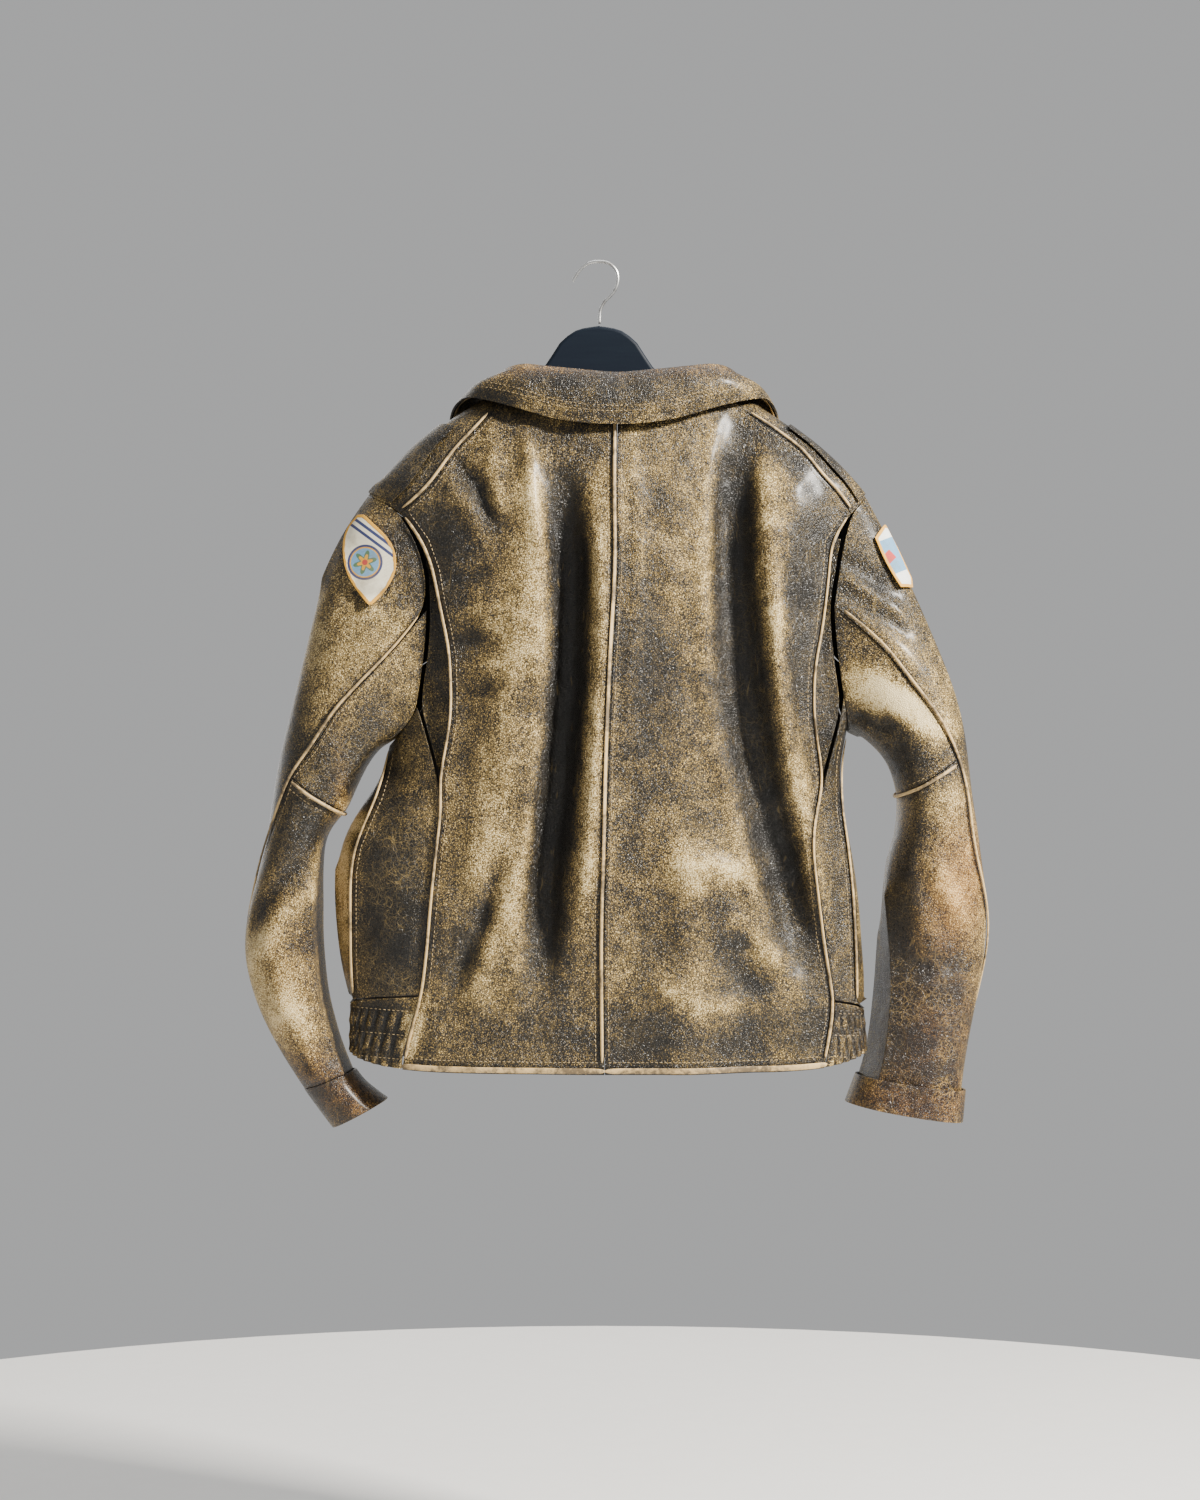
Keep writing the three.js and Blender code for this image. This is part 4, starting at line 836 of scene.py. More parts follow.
@dataclass
class Tailor:
    """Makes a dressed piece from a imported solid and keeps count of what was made."""

    drape: Drape
    wear: Wear
    nodes: dict[str, bpy.types.Object]
    centre: float = 17.0
    turning: float = 130.0
    aside: float = 8.0
    line_step: float = 15.0
    line_reach: float = 20.0
    ridge_limit: float = 0.35
    made: dict[str, bpy.types.Object] = field(default_factory=dict)
    sleeves: dict[str, np.ndarray] = field(default_factory=dict)

    def merged(self, name: str, near: float) -> bmesh.types.BMesh:
        """Copies a solid and joins its loose triangles.

        Args:
            name: the solid's node.
            near: how near two points are one, in metres.

        Returns:
            The new shape.
        """
        shape = bmesh.new()
        shape.from_mesh(self.nodes[name].data)
        bmesh.ops.remove_doubles(shape, verts=shape.verts, dist=near)
        return shape

    def softened(self, name: str, edge: float, levels: int, corner: float = 50.0) -> bpy.types.Mesh:
        """A smooth closed copy of a solid, its edges rounded.

        Args:
            name: the solid's node.
            edge: the radius of its rounded edges, in millimetres; 0 leaves them to the smoothing.
            levels: how often it is subdivided.
            corner: the angle in degrees from which an edge is one.

        Returns:
            The new mesh.
        """
        shape = self.merged(name, SOFT_MERGE)
        bmesh.ops.join_triangles(shape, faces=shape.faces, angle_face_threshold=math.radians(40),
                                 angle_shape_threshold=math.radians(100))
        if edge > 0:
            bevelled(shape, corners(shape, corner), edge, 2)
        mesh = mesh_of(shape, name)
        holder = object_of(mesh, "holder")
        smooth = holder.modifiers.new("smooth", "SUBSURF")
        smooth.levels = smooth.render_levels = levels
        smooth.quality = 3
        bpy.context.view_layer.update()
        done = bpy.data.meshes.new_from_object(holder.evaluated_get(bpy.context.evaluated_depsgraph_get()))
        bpy.data.objects.remove(holder)
        bpy.data.meshes.remove(mesh)
        return done

    def rounded(self, name: str, edge: float, segments: int = 3, corner: float = 40.0) -> bpy.types.Mesh:
        """A hard solid's copy with rounded edges and its flat faces left flat.

        Args:
            name: the solid's node.
            edge: the radius of its edges in millimetres.
            segments: how many faces go round an edge.
            corner: the angle in degrees from which an edge is one.

        Returns:
            The new mesh.
        """
        shape = self.merged(name, HARD_MERGE)
        bmesh.ops.dissolve_limit(shape, angle_limit=math.radians(1.0), verts=shape.verts, edges=shape.edges)
        for face in bevelled(shape, corners(shape, corner), edge, segments)["faces"]:
            face.smooth = True
        return mesh_of(shape, name)

    def sharp_edges(self, name: str, corner: float = 50.0) -> KDTree:
        """Points along a solid's sharp edges, to measure from.

        Args:
            name: the solid's node.
            corner: the angle in degrees from which an edge is sharp.

        Returns:
            The points, in millimetres.
        """
        shape = self.merged(name, SOFT_MERGE)
        points = [e.verts[0].co.lerp(e.verts[1].co, i / 6) / MM for e in corners(shape, corner) for i in range(7)]
        shape.free()
        return tree_of(points)

    def piece(self, name: str, mesh: bpy.types.Mesh, material: bpy.types.Material, slot: str,
              body: str = JACKET_BODY, stands_for: str | None = None, smooth: bool = True) -> bpy.types.Object:
        """Turns a finished mesh into a piece that rides on a body.

        Args:
            name: the piece's name.
            mesh: its mesh in metres.
            material: its finish.
            slot: a material slot's name; not used.
            body: the body that it rides on.
            stands_for: the solid that it replaces.
            smooth: whether all of its faces are shaded as one surface.

        Returns:
            The new object.
        """
        mesh.materials.clear()
        mesh.materials.append(material)
        if smooth:
            mesh.polygons.foreach_set("use_smooth", [True] * len(mesh.polygons))
        made = object_of(mesh, name)
        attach(made, body)
        if stands_for:
            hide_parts(stands_for)
        self.made[name] = made
        log.info("%s: %d faces", name, len(mesh.polygons))
        return made

    @staticmethod
    def places(mesh: bpy.types.Mesh) -> np.ndarray:
        """A mesh's points in millimetres."""
        return vectors(mesh, "co") / MM

    @staticmethod
    def carry(mesh: bpy.types.Mesh, values: dict[str, np.ndarray]) -> None:
        """Writes values onto a mesh's points."""
        for name, numbers in values.items():
            mesh.attributes.new(name, "FLOAT", "POINT").data.foreach_set("value", numbers.astype(np.float32))

    def sleeve_line(self, side: str) -> np.ndarray:
        """The middle of a sleeve at a run of heights, from its solids.

        Args:
            side: left or right.

        Returns:
            Rows of height, middle across and middle away, from the lowest, in millimetres.
        """
        if side not in self.sleeves:
            points = np.vstack([self.places(node.data) for name, node in self.nodes.items()
                                if name.startswith(("sleeve", "cuff")) and name.endswith(side)])
            rows = []
            for height in np.arange(points[:, 2].min() + self.line_step, points[:, 2].max(), self.line_step):
                band = points[np.abs(points[:, 2] - height) < self.line_reach]
                if len(band) > 3:
                    middle = (band.min(axis=0) + band.max(axis=0)) / 2
                    rows.append((height, middle[0], middle[1]))
            self.sleeves[side] = np.array(rows)
        return self.sleeves[side]

    def inside(self, node: str, mesh: bpy.types.Mesh, places: np.ndarray) -> np.ndarray:
        """Which points lie on a wall's inner face, by how they face from the middle of their tube.

        Args:
            node: the solid that the mesh comes from.
            mesh: the piece's mesh.
            places: its points in millimetres.

        Returns:
            1 for an inner point and 0 for an outer one.
        """
        out = np.zeros_like(places)
        if node.startswith(("sleeve", "cuff")):
            line = self.sleeve_line(node.rsplit("_", 1)[1])
            for axis in (0, 1):
                out[:, axis] = places[:, axis] - np.interp(places[:, 2], line[:, 0], line[:, axis + 1])
        else:
            out[:, 1] = places[:, 1] - self.drape.middle
            wide = np.abs(places[:, 0] - self.centre) > self.turning
            out[wide, 0] = np.sign(places[wide, 0] - self.centre) * self.aside
        return (np.einsum("ij,ij->i", vectors(mesh, "normal"), out) < 0).astype(float)

    @staticmethod
    def standing(mesh: bpy.types.Mesh, places: np.ndarray) -> np.ndarray:
        """How far each point stands out from its neighbours, in millimetres; ridges and cut edges do."""
        pairs = np.zeros(len(mesh.edges) * 2, dtype=np.int32)
        mesh.edges.foreach_get("vertices", pairs)
        first, second = pairs.reshape(-1, 2).T
        total = np.zeros_like(places)
        count = np.zeros(len(places))
        for one, other in ((first, second), (second, first)):
            np.add.at(total, one, places[other])
            np.add.at(count, one, 1.0)
        return np.einsum("ij,ij->i", places - total / count[:, None], vectors(mesh, "normal"))

    def leather(self, node: str, material: bpy.types.Material, slot: str, levels: int = 2, edge: float = 0.45,
                lined: bool = True, ridges: float = RIDGE_RUB, grow: float = 0.0) -> bpy.types.Object:
        """A leather panel with its folds, its wear and its painted shade.

        Args:
            node: the solid it stands for.
            material: its finish.
            slot: a material slot's name, passed on to the piece.
            levels: how often it is subdivided.
            edge: the radius of its edges in millimetres.
            lined: whether its inner face shows the lining.
            ridges: how strongly what stands out is rubbed.
            grow: how far each end reaches on across, to close the gap at a seam, in millimetres.

        Returns:
            The new piece.
        """
        mesh = self.softened(node, edge, levels)
        places = self.places(mesh)
        low, high = places[:, 0].min(), places[:, 0].max()
        places[:, 0] += grow * (2.0 * places[:, 0] - low - high) / (high - low)
        values = self.wear.values(places, self.drape)
        values["rub"] += np.clip(self.standing(mesh, places) * ridges, -self.ridge_limit, self.ridge_limit)
        self.carry(mesh, values)
        self.carry(mesh, {"inside": self.inside(node, mesh, places) if lined else np.zeros(len(places))})
        mesh.vertices.foreach_set("co", (self.drape.pushed(places) * MM).ravel())
        return self.piece(f"{node}_leather", mesh, material, slot, stands_for=node)


# The jacket's sub-assemblies


@dataclass
class Shell:
    """The torso's panels, which hang from the hanger."""

    tailor: Tailor
    material: bpy.types.Material
    cuts: tuple[tuple[str, Cut], ...] = (
        ("back_left", Cut(0.215, 0.66, 0.115)),
        ("back_right", Cut(0.245, 0.66, 0.137)),
        ("gusset_left", Cut(0.045, 0.23, 0.0068)),
        ("gusset_right", Cut(0.045, 0.23, 0.0072)),
        ("side_panel_left", Cut(0.095, 0.29, 0.0200)),
        ("side_panel_right", Cut(0.055, 0.30, 0.0100)),
        ("front_left", Cut(0.335, 0.64, 0.146)),
        ("front_right", Cut(0.325, 0.64, 0.143)),
        ("yoke_left", Cut(0.135, 0.17, 0.0172)),
        ("yoke_right", Cut(0.125, 0.165, 0.0152)),
        ("elastic_left", Cut(0.105, 0.066, 0.0069)),
        ("elastic_right", Cut(0.080, 0.060, 0.0047)),
    )
    gather_rub: float = 16.0

    def build(self) -> None:
        """Makes each panel."""
        for node, cut in self.cuts:
            ridges = self.gather_rub if node.startswith("elastic") else RIDGE_RUB
            made = self.tailor.leather(node, self.material, "leather", ridges=ridges)


@dataclass
class Sleeves:
    """The sleeves' panels and cuffs."""

    tailor: Tailor
    material: bpy.types.Material
    cuts: tuple[tuple[str, str, Cut], ...] = (
        ("sleeve_outer_left", "leather", Cut(0.185, 0.60, 0.080)),
        ("sleeve_outer_right", "leather", Cut(0.180, 0.61, 0.0785)),
        ("sleeve_under_upper_left", "worn_leather", Cut(0.145, 0.20, 0.0215)),
        ("sleeve_under_upper_right", "worn_leather", Cut(0.140, 0.19, 0.0205)),
        ("sleeve_under_lower_left", "leather", Cut(0.200, 0.31, 0.0515)),
        ("sleeve_under_lower_right", "leather", Cut(0.215, 0.35, 0.0625)),
        ("cuff_left", "worn_leather", Cut(0.205, 0.048, 0.0094)),
        ("cuff_right", "worn_leather", Cut(0.255, 0.044, 0.0106)),
    )

    def build(self) -> None:
        """Makes each panel."""
        for node, slot, cut in self.cuts:
            made = self.tailor.leather(node, self.material, slot)


@dataclass
class Collar:
    """The collar, the shoulder straps and the collar's bound edge."""

    tailor: Tailor
    material: bpy.types.Material
    edging: bpy.types.Material
    cut: Cut = Cut(0.46, 0.115, 0.051)
    strap_cuts: tuple[Cut, Cut] = (Cut(0.062, 0.145, 0.0082), Cut(0.058, 0.135, 0.0069))

    def build(self) -> None:
        """Makes the collar, its binding and the straps."""
        made = self.tailor.leather("collar", self.material, "leather", lined=False)
        binding = self.tailor.leather("collar_binding", self.edging, "piping", levels=2, edge=0.0, lined=False)
        for side, cut in zip(SIDES, self.strap_cuts):
            strap = self.tailor.leather(f"epaulette_{side}", self.material, "leather", lined=False)


@dataclass
class Edgings:
    """The narrow piped edges along the seams and the bound hem."""

    tailor: Tailor
    material: bpy.types.Material
    kinds: tuple[str, ...] = ("piping_back_edge", "piping_yoke", "piping_sleeve", "piping_elbow", "piping_side")
    hem_overlap: float = 2.4

    def build(self) -> None:
        """Makes each edging from its solid; the hem's two halves meet under the centre seam."""
        for side in SIDES:
            for kind in self.kinds:
                self.tailor.leather(f"{kind}_{side}", self.material, "piping", edge=0.0, lined=False)
            self.tailor.leather(f"hem_band_{side}", self.material, "piping", edge=0.0, lined=False,
                                grow=self.hem_overlap)
        self.tailor.leather("piping_centre_back", self.material, "piping", edge=0.0, lined=False)


@dataclass
class ArmPatches:
    """The two embroidered patches on the upper sleeves."""

    tailor: Tailor
    edge: float = 0.35
    cuts: tuple[Cut, Cut] = (Cut(0.055, 0.085, 0.0036), Cut(0.036, 0.062, 0.0019))
    finishes: tuple[PatchFinish, PatchFinish] = (
        PatchFinish("left patch", Motif.ROSETTE, (-224.0, -292.0)),
        PatchFinish("right patch", Motif.LOZENGE, (280.0, -286.0), ground=(0.74, 0.74, 0.70)),
    )

    def build(self) -> None:
        """Makes each patch, which carries its distance from its rim."""
        for side, cut, finish in zip(SIDES, self.cuts, self.finishes):
            node = f"arm_patch_{side}"
            rim = self.tailor.sharp_edges(node)
            mesh = self.tailor.softened(node, self.edge, 3)
            places = self.tailor.places(mesh)
            self.tailor.carry(mesh, {"rim": np.array([rim.find(p)[2] for p in places])})
            mesh.vertices.foreach_set("co", (self.tailor.drape.pushed(places) * MM).ravel())
            made = self.tailor.piece(f"{node}_cloth", mesh, finish.material(), "patch_cloth", stands_for=node)


@dataclass
class FrontZip:
    """The zip down the front: its tape, the closed teeth, the slider and the pull tab."""

    tailor: Tailor
    metal: bpy.types.Material
    tape: bpy.types.Material
    middle: float = 17.0
    pitch: float = 3.0
    tooth: tuple[float, float, float] = (3.9, 2.0, 1.7)
    stagger: float = 1.2
    sunk: float = 0.5
    tooth_edge: float = 0.35
    slider_edge: float = 0.9
    bridge_edge: float = 0.3
    pull_edge: float = 0.35
    cut: Cut = Cut(0.030, 0.585, 0.0175)

    def teeth(self) -> None:
        """Sets bevelled teeth down both sides of the closed chain."""
        chain = BVHTree.FromObject(self.tailor.nodes["zip_chain"], bpy.context.evaluated_depsgraph_get())
        low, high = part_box("zip_chain")
        shape = bmesh.new()
        count = int((high[2] - low[2]) / (self.pitch * MM))
        for i in range(2 * count - 2):
            z = high[2] - (i + 1.5) * self.pitch * MM / 2
            x = (self.middle + (self.stagger if i % 2 else -self.stagger)) * MM
            hit, normal = chain.ray_cast(Vector((x, 0.2, z)), Vector((0.0, -1.0, 0.0)))[:2]
            if hit is None:
                continue
            turn = normal.to_track_quat("Y", "Z").to_matrix().to_4x4()
            stand = Matrix.Translation(hit - normal * self.sunk * MM) @ turn
            scale = Matrix.Diagonal((*(side * MM for side in self.tooth), 1.0))
            bmesh.ops.create_cube(shape, size=1.0, matrix=stand @ scale)
        bevelled(shape, shape.edges[:], self.tooth_edge, 1)
        mesh = mesh_of(shape, "zip_teeth")
        self.tailor.piece("zip_teeth", mesh, self.metal, "zip_metal", stands_for="zip_chain", smooth=False)

    def build(self) -> None:
        """Makes the zip's pieces."""
        tape = self.tailor.softened("zip_tape", 0.0, 1)
        made = self.tailor.piece("zip_tape_cloth", tape, self.tape, "zip_cloth", stands_for="zip_tape")
        self.teeth()
        for node, edge in (("zip_slider", self.slider_edge), ("zip_bridge", self.bridge_edge)):
            self.tailor.piece(f"{node}_cast", self.tailor.rounded(node, edge), self.metal, "zip_metal",
                              stands_for=node, smooth=False)
        pull = self.tailor.rounded("zip_pull", self.pull_edge)
        self.tailor.piece("zip_pull_cast", pull, self.metal, "zip_metal", PULL_BODY, "zip_pull", smooth=False)


@dataclass
class Hanger:
    """The painted wooden hanger and its wire hook."""

    tailor: Tailor
    wood: bpy.types.Material
    wire: bpy.types.Material
    edge: float = 3.2

    def build(self) -> None:
        """Makes the arch with rounded edges and the round hook."""
        arch = self.tailor.rounded("hanger_body", self.edge, segments=4)
        self.tailor.piece("hanger_arch", arch, self.wood, "painted_wood", stands_for="hanger_body", smooth=False)
        hook = self.tailor.softened("hanger_hook", 0.0, 1)
        self.tailor.piece("hanger_wire", hook, self.wire, "steel_wire", stands_for="hanger_hook")


@dataclass
class Sewing:
    """The rows of stitches beside the seams, on the collar, on the elastic waist and above the hem."""

    tailor: Tailor
    thread: bpy.types.Material
    pitch: float = 4.4
    long: float = 3.1
    thick: float = 0.8
    steepest: float = -0.22
    margin: float = 3.0
    beside: float = 6.0
    beside_sleeve: float = 6.5
    above_hem: float = 8.0
    centre_rows: tuple[float, float] = (-6.0, 6.5)
    collar_rows: tuple[float, float] = (8.0, 13.0)
    elastic_rows: tuple[float, float, float] = (1 / 6, 1 / 2, 5 / 6)
    shape: bmesh.types.BMesh = field(default_factory=bmesh.new)
    trees: dict[str, BVHTree] = field(default_factory=dict)

    def tree(self, name: str) -> BVHTree:
        """The faces of a finished piece, to cast rays at."""
        if name not in self.trees:
            self.trees[name] = BVHTree.FromObject(self.tailor.made[name], bpy.context.evaluated_depsgraph_get())
        return self.trees[name]

    def line(self, node: str) -> np.ndarray:
        """The middle line of an edging as seen from behind, from its top or its left end.

        Args:
            node: the edging's node; only its part on the back is followed.

        Returns:
            Places across and up, in millimetres.
        """
        places = self.tailor.places(self.tailor.nodes[node].data)
        flat = places[places[:, 1] < 0.0][:, [0, 2]]
        flat = np.unique(np.round(flat, 2), axis=0)
        middle = flat.mean(axis=0)
        axis = np.linalg.svd(flat - middle, full_matrices=False)[2][0]
        axis = axis if axis @ np.array([0.3, -1.0]) > 0 else -axis
        ordered = flat[np.argsort((flat - middle) @ axis)]
        count = len(ordered) // 4
        return np.array([ordered[4 * i:4 * i + 4].mean(axis=0) for i in range(count)])

    def stitch(self, row: bmesh.types.BMesh, start: Vector, end: Vector, normal: Vector) -> None:
        """Adds one stitch to a row, between two points on the leather."""
        along = (end - start).normalized()
        side = along.cross(normal).normalized()
        middle = (start + end) / 2 + normal * self.thick * 0.12 * MM
        turn = Matrix((side, normal, along)).transposed().to_4x4()
        size = Matrix.Diagonal((self.thick * MM, self.thick * MM, self.long * MM, 1.0))
        bmesh.ops.create_uvsphere(row, u_segments=6, v_segments=4, radius=0.5,
                                  matrix=Matrix.Translation(middle) @ turn @ size)

    def row(self, run: np.ndarray, offset: float, pieces: tuple[str, ...]) -> None:
        """Sews a row beside a line, where the leather under it faces back.

        Args:
            run: places across and up, in millimetres.
            offset: how far the row lies to the right of a line that goes down, or above one that goes right.
            pieces: the pieces that it may lie on.
        """
        step = np.diff(run, axis=0)
        step = np.vstack([step, step[-1:]])
        sideways = np.stack([-step[:, 1], step[:, 0]], 1) / np.linalg.norm(step, axis=1)[:, None]
        moved = run + offset * sideways
        way = np.concatenate([[0.0], np.cumsum(np.linalg.norm(np.diff(moved, axis=0), axis=1))])
        trees = [self.tree(name) for name in pieces]
        row = bmesh.new()
        for begin in np.arange(self.margin, way[-1] - self.long - self.margin, self.pitch):
            ends = []
            for far in (begin, begin + self.long):
                x, z = (float(np.interp(far, way, moved[:, k])) for k in (0, 1))
                hits = [tree.ray_cast(Vector((x * MM, -0.3, z * MM)), Vector((0.0, 1.0, 0.0))) for tree in trees]
                hits = [hit for hit in hits if hit[0] is not None]
                if hits:
                    ends.append(min(hits, key=lambda hit: hit[3]))
            if len(ends) == 2 and max(ends[0][1].y, ends[1][1].y) < self.steepest:
                if (ends[0][0] - ends[1][0]).length < 2.0 * self.long * MM:
                    self.stitch(row, ends[0][0], ends[1][0], ends[0][1])
        mesh = mesh_of(row, "row")
        self.shape.from_mesh(mesh)
        bpy.data.meshes.remove(mesh)

    def build(self) -> None:
        """Sews every row and joins the stitches into one piece."""
        backs = ("back_left_leather", "back_right_leather")
        centre = self.line("piping_centre_back")
        for offset in self.centre_rows:
            self.row(centre, offset, backs)
        for side, inward in zip(SIDES, (1.0, -1.0)):
            leather = f"back_{side}_leather"
            sleeve = tuple(f"sleeve_{part}_{side}_leather" for part in ("outer", "under_upper", "under_lower"))
            self.row(self.line(f"piping_back_edge_{side}"), self.beside * inward, (leather,))
            self.row(self.line(f"piping_yoke_{side}"), self.beside * inward, (leather,))
            self.row(self.line(f"piping_sleeve_{side}"), self.beside_sleeve * inward, sleeve)
            self.row(self.line(f"piping_elbow_{side}"), -self.beside_sleeve, sleeve)
            self.row(self.line(f"piping_side_{side}"), self.beside * inward, (f"side_panel_{side}_leather",))
            self.row(self.line(f"hem_band_{side}"), self.above_hem, backs)
            low, high = (np.array(corner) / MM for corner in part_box(f"elastic_{side}"))
            for share in self.elastic_rows:
                z = high[2] + (low[2] - high[2]) * share
                self.row(np.array([[low[0] + 2, z], [high[0] - 2, z - 3]]), 0.0, (f"elastic_{side}_leather",))
        for offset in self.collar_rows:
            self.row(self.line("collar_binding"), offset, ("collar_leather",))
        self.tailor.piece("stitches", mesh_of(self.shape, "stitches"), self.thread, "piping")


@dataclass(frozen=True)
class Lamp:
    """A soft square light: its name, where it stands and its side in metres, its watts and its colour."""

    name: str
    place: tuple[float, float, float]
    size: float
    watts: float
    colour: Colour


@dataclass
class Studio:
    """The camera, the lights and the floor."""

    view_middle: tuple[float, float] = (1.5, -472.0)
    view_height: float = 1455.0
    away: float = 3000.0
    film: float = 36.0
    floor_drop: float = 1310.0
    floor_reach: float = 1500.0
    aim: tuple[float, float, float] = (0.0, 0.0, -0.45)
    sky_colour: Colour = (0.87, 0.875, 0.88)
    sky_strength: float = 0.50
    lamps: tuple[Lamp, ...] = (
        Lamp("key", (2.30, -1.45, 1.25), 0.45, 440.0, (1.0, 0.955, 0.875)),
        Lamp("fill", (-2.2, -2.4, 0.2), 2.2, 5.0, (0.92, 0.96, 1.0)),
        Lamp("top", (0.2, 0.5, 1.7), 1.6, 26.0, (1.0, 1.0, 1.0)),
        Lamp("behind", (-1.0, 2.6, 0.4), 2.2, 28.0, (1.0, 0.98, 0.95)),
    )

    def camera(self) -> None:
        """Sets the camera straight behind the jacket."""
        lens = bpy.data.cameras.new("camera")
        lens.sensor_fit = "VERTICAL"
        lens.sensor_height = self.film
        lens.lens = self.film * self.away / self.view_height
        holder = object_of(lens, "camera")
        holder.location = Vector((self.view_middle[0], -self.away, self.view_middle[1])) * MM
        holder.rotation_euler = (math.pi / 2, 0.0, 0.0)
        bpy.context.scene.camera = holder

    def light(self, lamp: Lamp) -> None:
        """Adds a light that looks at the middle of the jacket.

        Args:
            lamp: the light.
        """
        made = bpy.data.lights.new(lamp.name, "AREA")
        made.shape = "SQUARE"
        made.size = lamp.size
        made.energy = lamp.watts
        made.color = lamp.colour
        holder = object_of(made, lamp.name)
        holder.location = lamp.place
        way = Vector(self.aim) - Vector(lamp.place)
        holder.rotation_euler = way.to_track_quat("-Z", "Y").to_euler()

    def build(self) -> None:
        """Sets up the whole studio."""
        self.camera()
        for lamp in self.lamps:
            self.light(lamp)
        world = bpy.data.worlds.new("studio")
        world.use_nodes = True
        sky = world.node_tree.nodes["Background"]
        sky.inputs["Color"].default_value = (*self.sky_colour, 1.0)
        sky.inputs["Strength"].default_value = self.sky_strength
        bpy.context.scene.world = world
        shape = bmesh.new()
        bmesh.ops.create_circle(shape, cap_ends=True, segments=96, radius=self.floor_reach * MM,
                                matrix=Matrix.Translation((0.0, 0.0, -self.floor_drop * MM)))
        mesh = mesh_of(shape, "floor")
        mesh.materials.append(FloorFinish().material())
        floor = object_of(mesh, "floor")


# Two long troughs run down the back from the shoulders, each beside a rounded ridge.
BACK_FOLDS = (
    Fold(((-35, -215), (-25, -300), (-27, -400), (-35, -480), (-50, -600), (-55, -700)), 16, -14, sharp=3.0),
    Fold(((-2, -230), (3, -360), (-6, -520), (-22, -650)), 9, 5),
    Fold(((-60, -230), (-52, -330), (-60, -480), (-78, -620)), 9, 3),
    Fold(((134, -165), (130, -250), (132, -320), (142, -430), (160, -525), (180, -605), (198, -690)), 18, -15,
         sharp=3.0),
    Fold(((108, -190), (100, -290), (104, -420), (126, -530), (162, -650)), 9, 5),
    Fold(((158, -200), (164, -310), (178, -430), (198, -540), (212, -640)), 9, 6),
    Fold(((30, -160), (40, -250), (30, -460)), 6, 3),
    Fold(((-70, -165), (-62, -230), (-50, -300)), 7, 4),
)

# Short creases where the shoulders, the waist and the hem are pinched.
BACK_CREASES = (
    Fold(((-140, -190), (-115, -220), (-100, -255)), 6, -5),
    Fold(((-150, -205), (-125, -240), (-110, -270)), 8, 4),
    Fold(((-105, -150), (-95, -250)), 5, 3),
    Fold(((-95, -575), (-110, -635), (-140, -700)), 6, -5),
    Fold(((-75, -580), (-125, -725)), 10, 4),
    Fold(((65, -580), (130, -585), (145, -600)), 8, 4),
    Fold(((120, -620), (200, -705)), 9, 4),
    Fold(((95, -645), (165, -715)), 8, -3),
    Fold(((40, -690), (100, -715), (185, -712)), 9, 4),
)

# The row of small wrinkles across the left shoulder blade.
WRINKLE_HEIGHTS = (-302, -336, -365, -390, -414)
WRINKLES = tuple(Fold(((-152, z - 8), (-98, z)), 6, 3 if i % 2 else -3) for i, z in enumerate(WRINKLE_HEIGHTS))

# Sleeve creases: the elbows, the forearms' diagonal gathers and the right upper arm's deep ones.
SLEEVE_FOLDS = (
    Fold(((-340, -650), (-305, -600), (-285, -580)), 6, -5),
    Fold(((-338, -675), (-295, -625), (-270, -600)), 8, 5),
    Fold(((-325, -735), (-300, -725), (-275, -732)), 7, 3),
    Fold(((-290, -790), (-240, -778)), 6, 3),
    Fold(((-245, -325), (-180, -325)), 6, -3),
    Fold(((-240, -340), (-180, -342)), 7, 3),
    Fold(((-260, -550), (-220, -520)), 6, -3),
    Fold(((230, -288), (298, -330)), 6, -4),
    Fold(((232, -302), (304, -348)), 6, 4),
    Fold(((236, -320), (300, -365)), 6, -4),
    Fold(((245, -435), (283, -453)), 6, -3),
    Fold(((318, -570), (358, -648)), 9, 3.5),
    Fold(((310, -600), (350, -670)), 8, -3),
    Fold(((300, -680), (370, -678)), 5, -4),
    Fold(((302, -696), (368, -694)), 7, 3),
)

# The front isn't seen, so it takes a few shallow folds of the same kinds on both sides of the zip.
FRONT_FOLDS = (
    Fold(((-45, -290), (-60, -420), (-75, -560)), 16, -4, Side.FRONT),
    Fold(((-105, -230), (-95, -380), (-120, -520)), 13, 4, Side.FRONT),
    Fold(((-150, -480), (-115, -600), (-105, -720)), 12, 4, Side.FRONT),
    Fold(((75, -340), (90, -480), (80, -640)), 15, -4, Side.FRONT),
    Fold(((120, -240), (140, -360), (130, -470)), 13, 4, Side.FRONT),
    Fold(((185, -520), (150, -620), (140, -730)), 12, 4, Side.FRONT),
    Fold(((45, -660), (100, -690), (170, -670)), 10, 3, Side.FRONT),
)

FOLDS = BACK_FOLDS + BACK_CREASES + WRINKLES + SLEEVE_FOLDS + FRONT_FOLDS
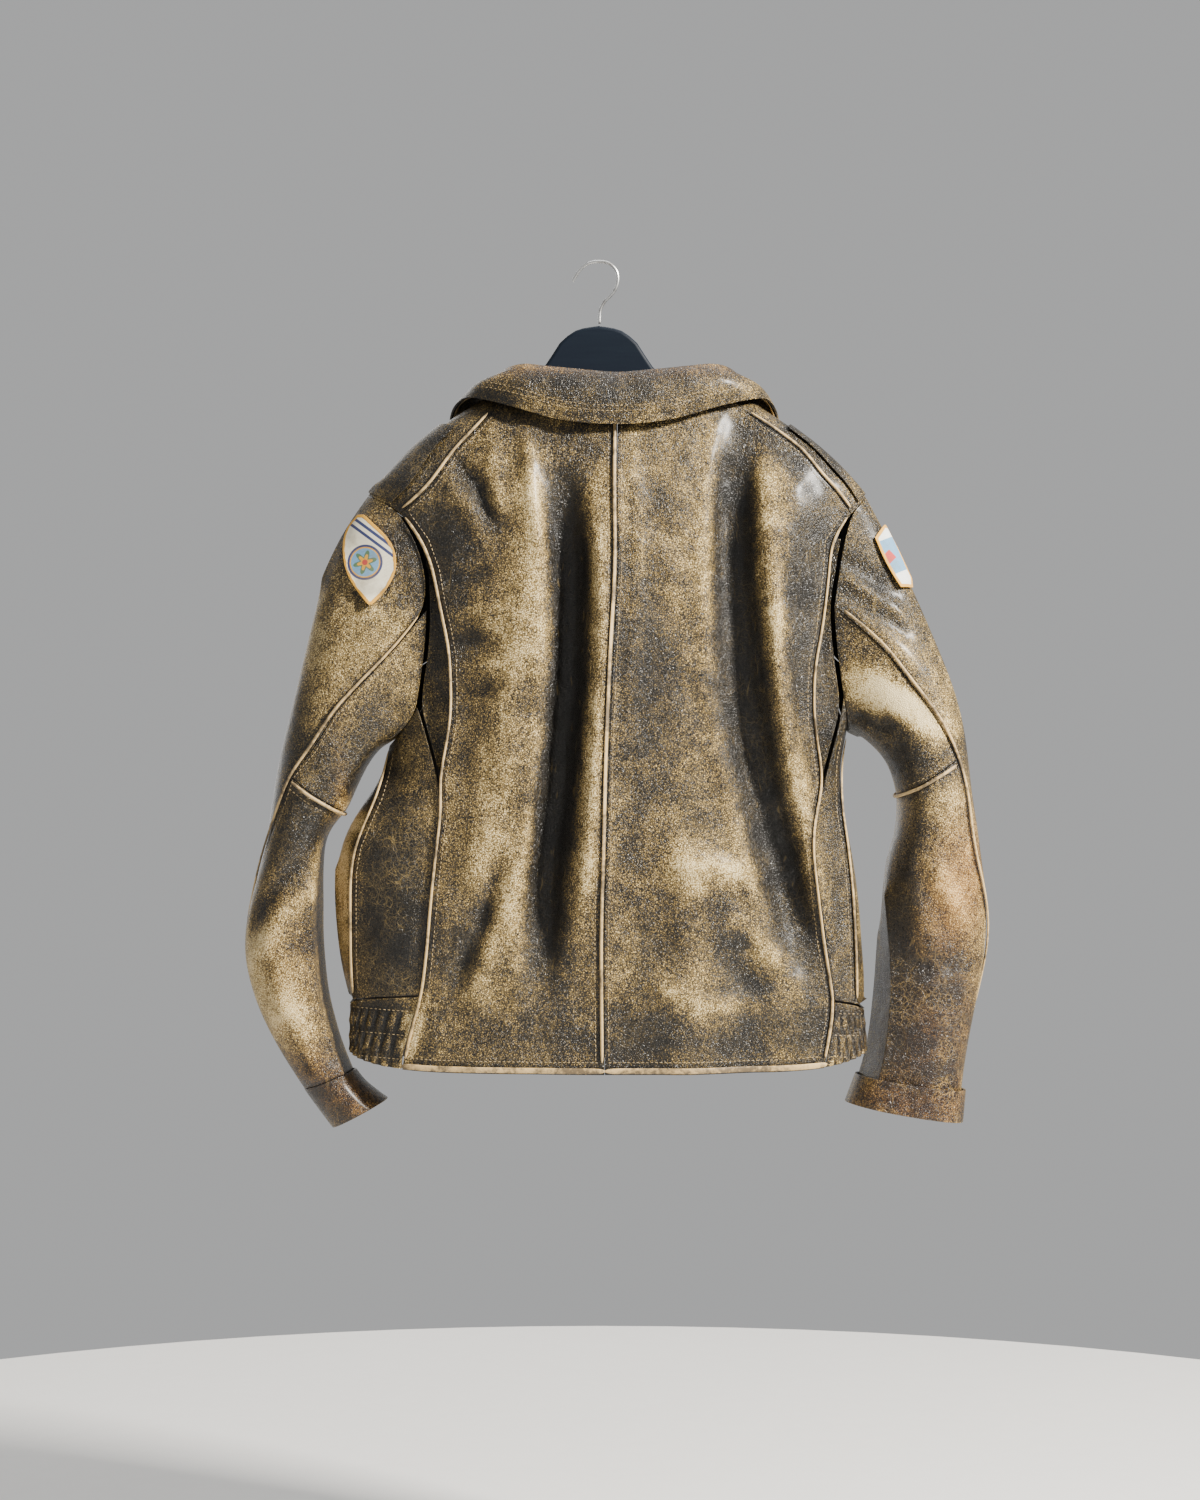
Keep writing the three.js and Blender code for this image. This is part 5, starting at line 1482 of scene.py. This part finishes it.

# Rubbed and darkened patches; one of them is a painted shadow under the collar.
RUBS_AND_SHADE = (
    Mark(-75, -290, 55, 130, 0.20),
    Mark(70, -250, 50, 120, 0.15),
    Mark(-95, -520, 45, 160, 0.18),
    Mark(90, -550, 70, 65, 0.14),
    Mark(-145, -345, 28, 110, -0.32, 0, Side.BACK, 3),
    Mark(-110, -205, 18, 40, 0.25, 25),
    Mark(-170, -265, 22, 30, -0.25),
    Mark(202, -320, 34, 125, -0.40, 0, Side.BACK, 3),
    Mark(152, -250, 11, 85, 0.30),
    Mark(70, -420, 42, 90, -0.14),
    Mark(-195, -615, 38, 95, -0.42, 0, Side.BACK, 3),
    Mark(235, -550, 22, 85, -0.32),
    Mark(-247, -600, 9, 110, 0.42, 0, Side.BACK, 4),
    Mark(-232, -540, 13, 13, 0.50, 0, Side.BACK, 3),
    Mark(-185, -182, 55, 38, -0.36, 38, Side.BACK, 3),
    Mark(213, -175, 50, 43, -0.42, -38, Side.BACK, 3),
    Mark(-250, -370, 50, 75, 0.26),
    Mark(-235, -490, 42, 40, -0.30, -20),
    Mark(-295, -565, 22, 60, -0.20, -20),
    Mark(-300, -705, 55, 85, 0.38),
    Mark(-265, -800, 70, 26, -0.28, -28),
    Mark(260, -415, 30, 22, 0.85, -20, Side.BACK, 4),
    Mark(302, -436, 33, 15, 0.82, -38, Side.BACK, 4),
    Mark(265, -475, 45, 26, -0.30, -20),
    Mark(262, -330, 35, 45, -0.20),
    Mark(340, -600, 28, 60, 0.25, -14),
    Mark(290, -620, 22, 90, -0.35),
    Mark(325, -745, 55, 62, -0.48, 0, Side.BACK, 3),
    Mark(297, -815, 62, 24, -0.30),
    Mark(60, -745, 150, 20, -0.22),
    Mark(110, -600, 60, 20, 0.20),
    Mark(-85, -600, 40, 60, 0.12),
    Mark(-178, -744, 8, 42, 0.70, -14, Side.BACK, 4),
    Mark(10, -125, 150, 30, -0.34, 0, Side.BACK, 3),
    # painted shadow under the collar's edge
    Mark(-50, -172, 55, 12, -0.30, -16),
    Mark(-60, -103, 60, 8, 0.20),
    Mark(-215, -745, 30, 30, -0.24),
    Mark(240, -745, 25, 30, -0.24),
    Mark(17, -480, 16, 280, 0.18, 0, Side.FRONT, 3),
    Mark(-90, -330, 55, 70, 0.20, 0, Side.FRONT),
    Mark(130, -300, 50, 80, 0.16, 0, Side.FRONT),
    Mark(110, -640, 60, 70, 0.16, 0, Side.FRONT),
    Mark(-120, -620, 50, 80, -0.14, 0, Side.FRONT),
    Mark(0, -765, 220, 16, 0.14, 0, Side.FRONT, 3),
)

WARMTHS = (
    Mark(-300, -705, 55, 90, 0.10),
    Mark(-240, -808, 60, 26, 0.50, -28),
    Mark(-247, -600, 9, 110, 0.30),
    Mark(345, -608, 30, 70, 0.62, -14),
    Mark(328, -748, 58, 60, 0.42),
    Mark(297, -815, 62, 24, 0.62),
    Mark(10, -105, 145, 10, 0.38),
)

DARKENINGS = (
    # a darker band just above the hem
    Mark(10, -775, 185, 14, 0.08),
    # painted shade along the crease above the right forearm
    Mark(325, -680, 48, 10, 0.16),
)

CRACKS = (
    Mark(-190, -185, 58, 40, 0.50, 38),
    Mark(-248, -380, 55, 90, 0.55),
    Mark(-190, -600, 40, 105, 0.35),
    Mark(328, -750, 58, 78, 0.55),
    Mark(297, -815, 62, 24, 0.50),
    Mark(0, -420, 130, 260, -0.22),
)


def main() -> None:
    """Builds the studio and the jacket in order and reports each piece."""
    logging.basicConfig(level=logging.INFO, format="%(relativeCreated)6d ms  %(message)s")
    Studio().build()
    drape = Drape(FOLDS)
    wear = Wear(RUBS_AND_SHADE, WARMTHS, DARKENINGS, CRACKS)
    wear.find_edges(frame["nodes"])
    tailor = Tailor(drape, wear, frame["nodes"])
    leather = LeatherFinish("rubbed leather").material()
    edging = EdgeFinish("rubbed edging").material()
    Shell(tailor, leather).build()
    Sleeves(tailor, leather).build()
    Collar(tailor, leather, edging).build()
    Edgings(tailor, edging).build()
    ArmPatches(tailor).build()
    brass = MetalFinish("zip metal", (0.62, 0.52, 0.34), (0.20, 0.16, 0.10)).material()
    steel = MetalFinish("hook steel", (0.66, 0.66, 0.65), (0.36, 0.35, 0.34), 0.2).material()
    FrontZip(tailor, brass, ClothFinish("zip cloth", (0.014, 0.013, 0.012), (0.034, 0.031, 0.027)).material()).build()
    Hanger(tailor, WoodFinish().material(), steel).build()
    Sewing(tailor, ThreadFinish("thread", (0.40, 0.29, 0.14)).material()).build()


if __name__ == "__main__":
    main()
